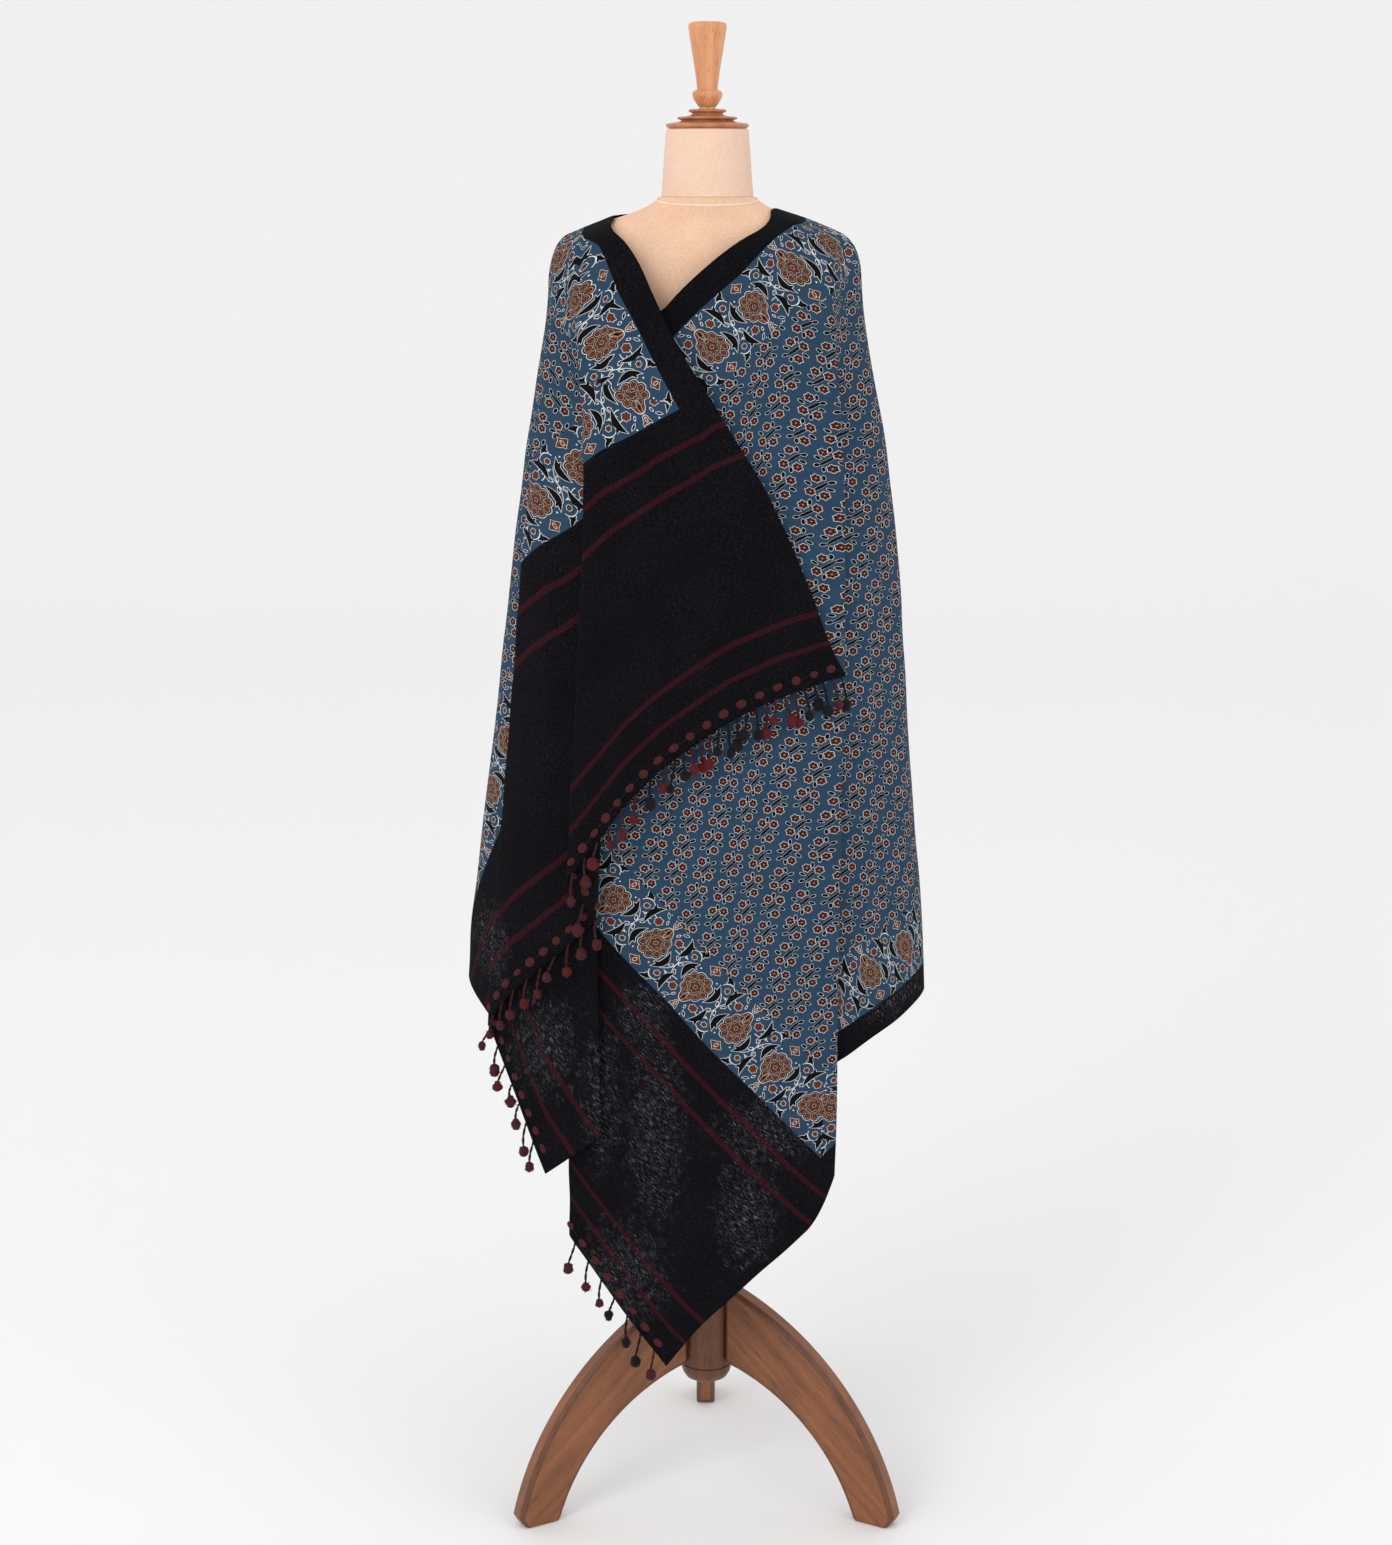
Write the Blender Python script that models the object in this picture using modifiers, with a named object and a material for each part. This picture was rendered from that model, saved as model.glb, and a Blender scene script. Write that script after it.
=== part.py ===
"""Block printed dupatta draped over a limbless dress form on a wooden tripod.

Units are metres, +Z is up, the viewer stands on the -Y side, and the origin lies on the floor
under the middle of the whole. The dupatta is one flat cloth. It is laid out here as plumb lines: each
line hangs from the neck edge down to the hem or to the tasselled end, and the cloth passes from
line to line, round the body and through its pleats. Every panel is a stretch of that one sheet,
cut along the true seams, and given a wall.
"""
import math

import bmesh
import bpy
import numpy as np
from mathutils import Vector

# Where the pole stands; every other size is measured from its axis
POLE_PLACE = (0.0122, -0.0482, 0.0)

# Flat cloth
CLOTH_LENGTH = 2.00
CLOTH_WIDTH = 0.91
END_PANEL = 0.35
BORDER = 0.032
WALL = 0.0015
SEAM_GAP = 0.0003
SEAM_SLOPE = 0.62
STRETCH_CUT = 0.003
ROW_CUT = 0.03
SHORTEST = 0.0004
CLOSEST_LINES = 0.04
LAYER_PITCH = 0.0062

# Rings of the sheet, top to bottom: its height, its half width and depths, front depth first,
# how it tilts up towards the photo's right, and how much of the layers' spacing it shows
RING_COLUMNS = ("z", "x", "y", "half_width", "front", "back", "tilt", "pitch")
SHEET_RINGS = {
    "neck": (1.5430, -0.0125, 0.018, 0.0925, 0.070, 0.066, 0.044, 0.10),
    "slope": (1.5285, -0.0050, 0.011, 0.1330, 0.079, 0.080, 0.018, 0.25),
    "shoulder": (1.5115, 0.0010, 0.006, 0.1735, 0.090, 0.096, 0.000, 0.40),
    "upper": (1.4300, 0.0005, 0.002, 0.1785, 0.108, 0.108, 0.000, 0.68),
    "bust": (1.2500, 0.0040, 0.000, 0.2095, 0.128, 0.120, 0.000, 1.00),
    "waist": (0.9500, -0.0010, 0.000, 0.2380, 0.1365, 0.135, 0.000, 1.00),
    "hem": (0.6200, -0.0065, 0.000, 0.2750, 0.145, 0.150, 0.000, 1.00),
    "low": (0.1000, -0.0065, 0.000, 0.2750, 0.116, 0.150, 0.000, 1.00),
}
BUST_SWELL_SHARE = 0.35
NECK_Z = 1.544

# Each plumb line in the order of the cloth, from the end thrown over the left shoulder, round
# the back, to the end that hangs in front. The first four are turns in degrees round the body
# from the front towards the photo's left, on four rings; layer counts the cloths that lie under
# it; swell is millimetres of soft fold at the hem; the last three are heights in metres of the
# neck edge, of the seam between print and end panel (above the neck edge or below the hem where
# it isn't met), and of the line's lower end. A height of NECK_Z starts at the neck.
LINE_COLUMNS = ("name", "neck", "shoulder", "bust", "hem", "layer", "swell", "top", "seam", "end")
PLUMB_LINES = [
    ("over corner", -60, -55, -45.8, -34.1, 1.3, 0, 1.032, 1.440, 1.032),
    ("over 1", -52, -47, -37.9, -28.7, 1.4, 0, 1.075, 1.425, 1.028),
    ("over 2", -45, -38, -30.2, -23.2, 1.6, 0, 1.143, 1.410, 1.021),
    ("over 3", -34, -24, -16.4, -12.8, 2.0, 0, 1.244, 1.385, 1.006),
    ("over 4", -14, -10, -3.9, -3.1, 2.4, 2, 1.310, 1.360, 0.982),
    ("over 5", 10, 9, 8.4, 6.6, 3.0, 4, 1.392, 1.335, 0.948),
    ("over 6", 28, 17, 14.7, 11.4, 3.5, 5, 1.443, 1.322, 0.929),
    ("over 7", 52, 27, 23.5, 18.4, 4.1, 4, 1.505, 1.303, 0.893),
    ("over 8", 72, 40, 31.0, 24.6, 4.7, 2, 1.544, 1.289, 0.850),
    ("first pleat edge", 76, 48, 37.0, 34.4, 5.0, 0, 1.544, 1.272, 0.800),
    ("first pleat root", 79, 54, 27.5, 26.5, 4.0, 0, 1.544, 1.237, 0.757),
    ("over 9", 82, 60, 44.0, 41.0, 3.0, 0, 1.544, 1.197, 0.695),
    ("over 10", 85, 65, 56.0, 53.0, 3.0, 2, 1.544, 1.178, 0.655),
    ("second pleat edge", 88, 70, 67.0, 62.0, 3.0, 0, 1.544, 1.153, 0.610),
    ("over foot", 91, 75, 53.6, 40.2, 2.0, 0, 1.544, 1.075, 0.440),
    ("second pleat root", 94, 79, 42.0, 24.5, 2.0, 0, 1.544, 0.985, 0.495),
    ("inner side", 97, 83, 56.0, 45.0, 1.0, 0, 1.544, 0.920, 0.560),
    ("left side 1", 100, 87, 70.0, 65.0, 1.0, 4, 1.544, 0.850, 0.622),
    ("left side 2", 105, 94, 88.0, 88.0, 1.0, 14, 1.544, 0.722, 0.660),
    ("back 1", 114, 107, 106.0, 103.0, 0.6, -8, 1.544, 0.600, 0.645),
    ("back 2", 124, 121, 121.0, 119.0, 0.3, 24, 1.544, 0.500, 0.630),
    ("back 3", 135, 135, 136.0, 134.0, 0.0, -20, 1.544, 0.450, 0.615),
    ("back 4", 148, 150, 151.0, 148.0, 0.0, 22, 1.544, 0.450, 0.600),
    ("back 5", 163, 165, 166.0, 163.0, 0.0, -18, 1.544, 0.450, 0.592),
    ("back 6", 178, 180, 181.0, 179.0, 0.0, 19, 1.544, 0.450, 0.588),
    ("back 7", 194, 195, 196.0, 196.0, 0.0, -21, 1.544, 0.450, 0.590),
    ("back 8", 210, 210, 211.0, 212.0, 0.0, 24, 1.544, 0.450, 0.598),
    ("back 9", 225, 225, 226.0, 228.0, 0.0, -19, 1.544, 0.450, 0.610),
    ("back 10", 238, 240, 242.0, 244.0, 0.0, 20, 1.544, 0.450, 0.622),
    ("back 11", 249, 252, 257.0, 259.0, 0.0, -9, 1.544, 0.450, 0.632),
    ("right side 1", 257, 264, 272.0, 273.0, -0.2, 3, 1.544, 0.450, 0.640),
    ("right side 2", 263, 275, 288.0, 292.0, -0.8, 0, 1.544, 0.440, 0.622),
    ("right side 3", 268, 285, 302.0, 312.0, -1.6, -2, 1.544, 0.430, 0.596),
    ("right side 4", 272, 293, 313.0, 325.0, -2.0, 0, 1.544, 0.420, 0.570),
    ("third pleat root", 276, 300, 327.0, 346.5, -2.0, 0, 1.544, 0.415, 0.530),
    ("third pleat edge", 280, 306, 313.0, 325.0, -1.0, 0, 1.544, 0.443, 0.438),
    ("under 1", 284, 312, 321.4, 331.0, 0.0, 0, 1.544, 0.468, 0.380),
    ("under 2", 290, 320, 328.2, 335.7, 0.0, 1, 1.544, 0.490, 0.362),
    ("under 3", 301, 334, 342.7, 346.5, 0.0, 4, 1.541, 0.545, 0.320),
    ("under 4", 322, 348, 352.4, 354.1, 0.0, 5, 1.518, 0.583, 0.286),
    ("under 5", 342, 362, 362.2, 361.7, 0.0, 3, 1.484, 0.621, 0.249),
    ("under foot", 363, 376, 373.0, 368.6, 0.0, 0, 1.442, 0.661, 0.202),
    ("under 6", 378, 386, 381.4, 376.5, 0.0, -1, 1.417, 0.695, 0.250),
    ("under 7", 396, 399, 393.0, 387.6, 0.0, 0, 1.382, 0.744, 0.322),
    ("fourth pleat edge", 402, 406, 399.5, 394.6, 0.0, 0, 1.360, 0.785, 0.362),
    ("wedge 1", 383, 385, 383.0, 380.0, -1.0, 0, 1.297, 0.837, 0.418),
    ("wedge 2", 364, 366, 367.0, 365.0, -1.0, 0, 1.243, 0.888, 0.474),
    ("fourth pleat root", 345, 347, 347.3, 350.1, -1.0, 0, 1.190, 0.940, 0.530),
    ("wedge 3", 363, 365, 366.0, 364.5, -2.0, 0, 1.137, 0.993, 0.587),
    ("wedge 4", 382, 384, 385.0, 379.0, -2.0, 0, 1.083, 1.047, 0.643),
    ("fifth pleat edge", 400, 402, 404.0, 393.0, -2.0, 0, 1.030, 1.100, 0.700),
    ("wedge 5", 382, 384, 385.5, 379.0, -3.0, 0, 0.977, 1.150, 0.757),
    ("wedge 6", 363, 365, 366.8, 364.8, -3.0, 0, 0.923, 1.200, 0.813),
    ("under corner", 345, 347, 348.0, 350.6, -3.0, 0, 0.870, 1.250, 0.870),
]
OVER_FOOT = "over foot"
UNDER_FOOT = "under foot"
BACK_STARTS = "left side 2"
BACK_ENDS = "right side 1"
PLEATS = {
    "first pleat edge", "first pleat root", "second pleat edge", "second pleat root",
    "third pleat root", "third pleat edge", "fourth pleat edge", "fourth pleat root",
    "fifth pleat edge",
}

# Rows of faces down each panel
PRINT_ROWS = 12
END_ROWS = 5
LINE_SAMPLES = 120
DENSE_STEPS = 8

# Tassels
TASSEL_SPACING = 0.0125
TASSEL_APART = 0.0095
TASSEL_LENGTH = 0.044
TASSEL_STRIP = 0.005
TASSEL_ROOT = 0.7
THREAD_HALF = 0.0011
POMPOM_HALF = 0.0036
TASSEL_LEAN = 0.0060
TASSEL_TURN = 0.5
TASSEL_ROWS = {
    "tassels_over_front": ("over corner", "first pleat edge"),
    "tassels_over_fold": ("first pleat edge", "second pleat edge"),
    "tassels_over_foot": ("second pleat edge", OVER_FOOT),
    "tassels_under": (UNDER_FOOT, "fourth pleat edge"),
}

# Dress form: height, half width, half depth and the ring's middle along Y
FORM_RINGS = [
    (1.5600, 0.0530, 0.0530, 0.010),
    (1.5508, 0.0645, 0.0545, 0.011),
    (1.5432, 0.0815, 0.0560, 0.012),
    (1.5358, 0.1045, 0.0580, 0.013),
    (1.5282, 0.1267, 0.0610, 0.012),
    (1.5160, 0.1430, 0.0660, 0.010),
    (1.4900, 0.1540, 0.0730, 0.007),
    (1.4400, 0.1570, 0.0820, 0.004),
    (1.3600, 0.1540, 0.0880, 0.002),
    (1.2700, 0.1520, 0.0920, 0.000),
    (1.1800, 0.1420, 0.0880, 0.000),
    (1.0900, 0.1300, 0.0840, 0.002),
    (0.9900, 0.1400, 0.0880, 0.004),
    (0.8900, 0.1560, 0.0940, 0.006),
    (0.8000, 0.1600, 0.0960, 0.006),
    (0.7650, 0.1520, 0.0900, 0.006),
    (0.7500, 0.1280, 0.0740, 0.006),
]
FORM_SIDES = 28
NECK_Y = 0.010


# Turned pieces: radius and height, top to bottom
NECK_PROFILE = [(0.0455, 1.6345), (0.0465, 1.6315), (0.0490, 1.6000), (0.0505, 1.5780),
                (0.0520, 1.5603)]
CAP_PROFILE = [(0.0205, 1.6555), (0.0212, 1.6535), (0.0200, 1.6490), (0.0330, 1.6480),
               (0.0340, 1.6455), (0.0330, 1.6430), (0.0450, 1.6412), (0.0468, 1.6385),
               (0.0462, 1.6350)]
WASHER_RADIUS = 0.0095
WASHER_Z = (1.6559, 1.6582)
FINIAL_PROFILE = [(0.0120, 1.7510), (0.0195, 1.7495), (0.0214, 1.7465), (0.0208, 1.7390),
                  (0.0168, 1.7150), (0.0128, 1.6900), (0.0116, 1.6780), (0.0150, 1.6758),
                  (0.0170, 1.6720), (0.0160, 1.6670), (0.0110, 1.6610), (0.0098, 1.6586)]
HUB_RADIUS = 0.0310
HUB_TOP = 0.300
HUB_BOTTOM = 0.133
GROOVE_Z = 0.156
POLE_RADIUS = 0.0145
TURNED_SIDES = 24

# Tripod legs: radius and height of the outer and the inner curve of the flat board
LEG_OUTER = [(0.0313, 0.263), (0.155, 0.192), (0.263, 0.014)]
LEG_INNER = [(0.0313, 0.163), (0.126, 0.118), (0.209, 0.000)]
LEG_TOE = (0.255, 0.000)
LEG_ARC_STEPS = 8
LEG_THICKNESS = 0.024
LEG_EDGE = 0.0025
LEG_TURNS = {"leg_left": -150.0, "leg_right": -30.0, "leg_back": 90.0}

# Colours, linear
INDIGO = (0.030, 0.085, 0.160, 1.0)
BLACK = (0.012, 0.011, 0.012, 1.0)
MAROON = (0.110, 0.012, 0.018, 1.0)
LINEN = (0.640, 0.480, 0.350, 1.0)
WALNUT = (0.200, 0.085, 0.040, 1.0)
HONEY_WOOD = (0.480, 0.220, 0.090, 1.0)
BRASS = (0.720, 0.500, 0.200, 1.0)


def clear_scene():
    """Remove whatever the open file holds."""
    for obj in list(bpy.data.objects):
        bpy.data.objects.remove(obj, do_unlink=True)


def new_collection(name):
    """A collection linked to the scene."""
    collection = bpy.data.collections.new(name)
    bpy.context.scene.collection.children.link(collection)
    return collection


def new_material(name, colour, roughness, metallic=0.0):
    """A plain Principled material."""
    material = bpy.data.materials.new(name)
    material.use_nodes = True
    shader = material.node_tree.nodes["Principled BSDF"]
    shader.inputs["Base Color"].default_value = colour
    shader.inputs["Roughness"].default_value = roughness
    shader.inputs["Metallic"].default_value = metallic
    material.diffuse_color = colour
    return material


def mesh_object(name, bm, collection, material, smooth_angle=None):
    """Turn a bmesh into a named object with one material."""
    mesh = bpy.data.meshes.new(name)
    bm.to_mesh(mesh)
    bm.free()
    obj = bpy.data.objects.new(name, mesh)
    obj.data.materials.append(material)
    collection.objects.link(obj)
    if smooth_angle is not None:
        mesh.shade_smooth()
        mesh.set_sharp_from_angle(angle=math.radians(smooth_angle))
    return obj


def control_rows():
    """The plumb lines, with each pleat fold doubled so that its two sides lie a layer apart."""
    rows = [dict(zip(LINE_COLUMNS, line)) for line in PLUMB_LINES]
    control = []
    for index, row in enumerate(rows):
        control.append(row)
        if row["name"] in PLEATS:
            after = rows[index + 1]
            inner = dict(row, name=row["name"] + " inner", layer=after["layer"])
            if row["top"] >= NECK_Z:
                inner["neck"] = (row["neck"] + after["neck"]) / 2
                inner["shoulder"] = (row["shoulder"] + after["shoulder"]) / 2
            control.append(inner)
    return control


def ring_points(ring, turns, outward):
    """Points on an oval ring at the given turns, moved outward along its normal."""
    angle = np.radians(turns)
    depth = np.where(np.cos(angle) > 0, ring["front"], ring["back"])
    x = -ring["half_width"] * np.sin(angle)
    y = -depth * np.cos(angle)
    normal = np.stack([x / ring["half_width"] ** 2, y / depth ** 2], axis=-1)
    normal /= np.linalg.norm(normal, axis=-1, keepdims=True)
    centre = np.array([ring["x"], ring["y"]])
    plan = centre + np.stack([x, y], axis=-1) + normal * np.asarray(outward)[:, None]
    height = ring["z"] + ring["tilt"] * plan[:, 0]
    return np.column_stack([plan, height])


def control_net(control):
    """The net of ring points that the sheet is stretched over: rings by plumb lines by x, y, z."""
    column = {key: np.array([row[key] for row in control], float) for key in LINE_COLUMNS[1:]}
    lift = column["layer"] * LAYER_PITCH
    swell = column["swell"] / 1000.0
    turns = {
        "neck": column["neck"],
        "slope": (column["neck"] + column["shoulder"]) / 2,
        "shoulder": column["shoulder"],
        "upper": column["shoulder"],
        "bust": column["bust"],
        "waist": (column["bust"] + column["hem"]) / 2,
        "hem": column["hem"],
        "low": column["hem"],
    }
    swells = {"bust": BUST_SWELL_SHARE, "waist": (1 + BUST_SWELL_SHARE) / 2, "hem": 1.0, "low": 1.0}
    layers = []
    for name, values in SHEET_RINGS.items():
        ring = dict(zip(RING_COLUMNS, values))
        outward = lift * ring["pitch"] + swell * swells.get(name, 0.0)
        layers.append(ring_points(ring, turns[name], outward))
    return np.stack(layers)


def spline_weights(position, count):
    """Indices and weights of a clamped quadratic B-spline over so many control values."""
    position = np.clip(np.asarray(position, float), 0.0, count - 1.0)
    middle = np.clip(np.floor(position + 0.5).astype(int), 0, count - 1)
    offset = position - middle
    before = np.clip(middle - 1, 0, count - 1)
    after = np.clip(middle + 1, 0, count - 1)
    first = 0.5 * (0.5 - offset) ** 2
    last = 0.5 * (0.5 + offset) ** 2
    start = middle == 0
    stop = middle == count - 1
    first = np.where(start, 0.0, np.where(stop, -offset, first))
    last = np.where(stop, 0.0, np.where(start, offset, last))
    return (before, middle, after), (first, 1.0 - first - last, last)


def spline_values(values, position):
    """Evaluate the clamped quadratic B-spline of a table's column."""
    indices, weights = spline_weights(position, len(values))
    return sum(np.asarray(values, float)[i] * w for i, w in zip(indices, weights))


class Drape:
    """The one sheet of cloth: where any plumb line runs, and what of the flat cloth it is."""

    def __init__(self):
        self.control = control_rows()
        self.names = [row["name"] for row in self.control]
        self.net = control_net(self.control)
        self.depth_grid = np.linspace(0.0, len(self.net) - 1.0, LINE_SAMPLES)
        heights = [values[0] for values in SHEET_RINGS.values()]
        self.height_grid = spline_values(heights, self.depth_grid)
        self.last = len(self.control) - 1.0
        self.over_foot = float(self.names.index(OVER_FOOT))
        self.under_foot = float(self.names.index(UNDER_FOOT))
        self.measure()

    def point(self, line, depth):
        """Points of the sheet, at a place along the lines and a depth down the rings."""
        line, depth = np.broadcast_arrays(line, depth)
        rings, ring_weights = spline_weights(depth, self.net.shape[0])
        lines, line_weights = spline_weights(line, self.net.shape[1])
        total = np.zeros(line.shape + (3,))
        for ring, ring_weight in zip(rings, ring_weights):
            for column, line_weight in zip(lines, line_weights):
                total += self.net[ring, column] * (ring_weight * line_weight)[..., None]
        return total

    def normal(self, line, depth):
        """Unit normals, facing out of the face of the cloth."""
        step = 0.02
        line, depth = np.broadcast_arrays(np.asarray(line, float), np.asarray(depth, float))
        left = np.clip(line - step, 0.0, self.last)
        right = np.clip(line + step, 0.0, self.last)
        upper = np.clip(depth - step, 0.0, len(self.net) - 1.0)
        lower = np.clip(depth + step, 0.0, len(self.net) - 1.0)
        along = self.point(right, depth) - self.point(left, depth)
        down = self.point(line, lower) - self.point(line, upper)
        cross = np.cross(along, down)
        return cross / np.linalg.norm(cross, axis=-1, keepdims=True)

    def depth_at(self, height):
        """The depth down the rings at a height."""
        return np.interp(-np.asarray(height), -self.height_grid, self.depth_grid)

    def height_of(self, column, line):
        """A height column at any place, smooth between the cloth's four corners."""
        values = np.array([row[column] for row in self.control])
        stops = [0, int(self.over_foot), int(self.under_foot), int(self.last)]
        line = np.asarray(line, float)
        result = np.zeros(line.shape)
        for start, stop in zip(stops[:-1], stops[1:]):
            inside = (line >= start) & (line <= stop)
            stretch = spline_values(values[start:stop + 1], line - start)
            result = np.where(inside, stretch, result)
        return result

    def measure(self):
        """Lengths along the edges and seams give each place its own spot on the flat cloth."""
        line = np.linspace(0.0, self.last, int(self.last) * DENSE_STEPS + 1)
        top = self.height_of("top", line)
        end = np.minimum(self.height_of("end", line), top)
        seam = self.height_of("seam", line)
        self.dense = line
        half = int(len(line) / 2)
        over = line < line[half]
        met = (seam < top) & (seam > end)
        self.edge_run = self.run_along(line, top)
        end_run = self.run_along(line, end)
        seam_run = self.run_along(line, np.clip(seam, end, top))
        first, last = np.flatnonzero(met & over)[[0, -1]]
        third, fourth = np.flatnonzero(met & ~over)[[0, -1]]
        self.seam_over = (line[first], line[last])
        self.seam_under = (line[third], line[fourth])
        self.neck_u = self.scaled(self.edge_run, line, [0.0, self.seam_over[0], self.seam_under[1],
                                                        self.last], [0.0, END_PANEL,
                                                        CLOTH_LENGTH - END_PANEL, CLOTH_LENGTH])
        self.hem_u = self.scaled(end_run, line, [self.over_foot, self.seam_over[1],
                                                 self.seam_under[0], self.under_foot],
                                 [0.0, END_PANEL, CLOTH_LENGTH - END_PANEL, CLOTH_LENGTH])
        over_v = self.scaled(end_run, line, [0.0, self.over_foot], [0.0, CLOTH_WIDTH])
        under_v = self.scaled(end_run, line, [self.under_foot, self.last], [CLOTH_WIDTH, 0.0])
        self.end_v = np.where(line <= self.over_foot, over_v,
                              np.where(line >= self.under_foot, under_v, CLOTH_WIDTH))
        seam_over_v = self.scaled(seam_run, line, self.seam_over, [0.0, CLOTH_WIDTH])
        seam_under_v = self.scaled(seam_run, line, self.seam_under, [CLOTH_WIDTH, 0.0])
        self.seam_v = np.where(over, seam_over_v, seam_under_v)

    def run_along(self, line, height):
        """Running length of the curve that passes the lines at the given heights."""
        points = self.point(line, self.depth_at(height))
        steps = np.linalg.norm(np.diff(points, axis=0), axis=1)
        return np.concatenate([[0.0], np.cumsum(steps)])

    @staticmethod
    def scaled(run, line, places, values):
        """Flat measure along an edge: its running length, scaled between known corners."""
        corners = np.interp(places, line, run)
        return np.interp(run, corners, values)

    def station(self, line):
        """One plumb line: lengths down it, and the flat cloth under each length."""
        top = float(self.height_of("top", line))
        end = min(float(self.height_of("end", line)), top)
        seam = float(self.height_of("seam", line))
        depths = self.depth_grid
        points = self.point(np.full(LINE_SAMPLES, line), depths)
        steps = np.linalg.norm(np.diff(points, axis=0), axis=1)
        lengths = np.concatenate([[0.0], np.cumsum(steps)])
        top_at, seam_at, end_at = np.interp(self.depth_at([top, seam, end]), depths, lengths)
        over = line < self.dense[int(len(self.dense) / 2)]
        seam_u = END_PANEL if over else CLOTH_LENGTH - END_PANEL
        if line <= self.over_foot:
            end_u = 0.0
        elif line >= self.under_foot:
            end_u = CLOTH_LENGTH
        else:
            end_u = float(np.interp(line, self.dense, self.hem_u))
        knots = [(top_at, float(np.interp(line, self.dense, self.neck_u)), 0.0)]
        if end < seam < top:
            knots.append((seam_at, seam_u, float(np.interp(line, self.dense, self.seam_v))))
        knots.append((end_at, end_u, float(np.interp(line, self.dense, self.end_v))))
        place, flat_u, flat_v = (np.array(values) for values in zip(*knots))
        printed = seam < top
        return {
            "line": line, "depths": depths, "lengths": lengths, "place": place,
            "u": flat_u, "v": flat_v, "top": top_at, "end": end_at,
            "seam": seam_at if end < seam < top else (end_at if printed else top_at),
            "ends_at_hem": self.over_foot <= line <= self.under_foot,
            "printed": printed,
        }


def cut_places(drape):
    """Line positions where a panel's corner lies, so that each corner is a real vertex."""
    places = [drape.over_foot, drape.under_foot]
    dense = drape.dense
    for start, stop in (drape.seam_over, drape.seam_under):
        inside = (dense >= start) & (dense <= stop)
        flat = drape.seam_v[inside]
        rising = flat[-1] > flat[0]
        for value in (BORDER, CLOTH_WIDTH - BORDER):
            order = slice(None) if rising else slice(None, None, -1)
            places.append(float(np.interp(value, flat[order], dense[inside][order])))
        places.extend([start, stop])
    return places


def panel_lines(drape, start, stop):
    """Line positions of a stretch: every plumb line, the middle of each gap, each corner."""
    regular = np.arange(0.0, drape.last + 0.25, 0.5)
    every = np.concatenate([regular, cut_places(drape), [start, stop]])
    every = np.unique(np.round(every, 5))
    every = every[(every >= start - 1e-6) & (every <= stop + 1e-6)]
    keep = [every[0]]
    for value in every[1:]:
        if value - keep[-1] > CLOSEST_LINES:
            keep.append(value)
        elif value in np.round(cut_places(drape) + [start, stop], 5):
            keep[-1] = value
    return np.array(keep)


def where_v(station, value):
    """Length down a plumb line at which it crosses a line of the flat cloth's width."""
    if station["v"][-1] <= value:
        return station["end"]
    return float(np.interp(value, station["v"], station["place"]))


def wall_bounds(station, part):
    """Upper and lower length of a panel on one plumb line, with half a seam gap kept off."""
    top, end, seam = station["top"], station["end"], station["seam"]
    neck_line = where_v(station, BORDER)
    hem_line = where_v(station, CLOTH_WIDTH - BORDER)
    print_end = seam if not station["printed"] or seam < end else end
    seam_gap = SEAM_GAP / 2 / SEAM_SLOPE
    stop = print_end - (seam_gap if seam < end else 0.0)
    if part == "neck_border":
        return top, min(neck_line - seam_gap, stop)
    if part == "print":
        hem_stop = hem_line - seam_gap if hem_line < end else end
        return neck_line + seam_gap, min(hem_stop, stop)
    if part == "hem_border":
        return hem_line + seam_gap, stop
    if part == "end_panel":
        return (seam + seam_gap if station["printed"] else top), end
    return end + seam_gap, end + seam_gap + TASSEL_STRIP


def panel_object(name, drape, lines, part, rows, collection, material):
    """A panel as a closed wall: two skins a wall apart, joined round the edge."""
    columns = []
    for line in lines:
        station = drape.station(float(line))
        upper, lower = wall_bounds(station, part)
        columns.append((line, station, upper, lower))
    inside = [index for index, column in enumerate(columns) if column[3] - column[2] > SHORTEST]
    first, last = max(inside[0] - 1, 0), min(inside[-1] + 1, len(columns) - 1)
    bm = bmesh.new()
    skins = []
    for line, station, upper, lower in columns[first:last + 1]:
        if lower - upper <= SHORTEST:
            upper = lower = (upper + lower) / 2
        lengths = np.linspace(upper, lower, rows + 1)
        depths = np.interp(lengths, station["lengths"], station["depths"])
        depths = np.linspace(depths[0], depths[-1], rows + 1)
        points = drape.point(np.full(rows + 1, line), depths)
        normals = drape.normal(np.full(rows + 1, line), depths)
        outer = points + normals * (WALL / 2)
        inner = points - normals * (WALL / 2)
        if upper == lower:
            outer_verts = [bm.verts.new(outer[0])] * (rows + 1)
            inner_verts = [bm.verts.new(inner[0])] * (rows + 1)
        else:
            outer_verts = [bm.verts.new(point) for point in outer]
            inner_verts = [bm.verts.new(point) for point in inner]
        skins.append((outer_verts, inner_verts))
    wall_faces(bm, skins, rows)
    bmesh.ops.recalc_face_normals(bm, faces=bm.faces)
    return mesh_object(name, bm, collection, material)


def wall_faces(bm, skins, rows):
    """Faces of the two skins and of the rim round them."""
    def face(*corners):
        unique = []
        for corner in corners:
            if corner not in unique:
                unique.append(corner)
        if len(unique) > 2:
            bm.faces.new(unique)

    for (outer_a, inner_a), (outer_b, inner_b) in zip(skins[:-1], skins[1:]):
        for row in range(rows):
            face(outer_a[row], outer_b[row], outer_b[row + 1], outer_a[row + 1])
            face(inner_a[row], inner_a[row + 1], inner_b[row + 1], inner_b[row])
        face(outer_a[0], inner_a[0], inner_b[0], outer_b[0])
        face(outer_a[rows], outer_b[rows], inner_b[rows], inner_a[rows])
    for outer, inner in (skins[0], skins[-1]):
        for row in range(rows):
            face(outer[row], outer[row + 1], inner[row + 1], inner[row])


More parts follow.
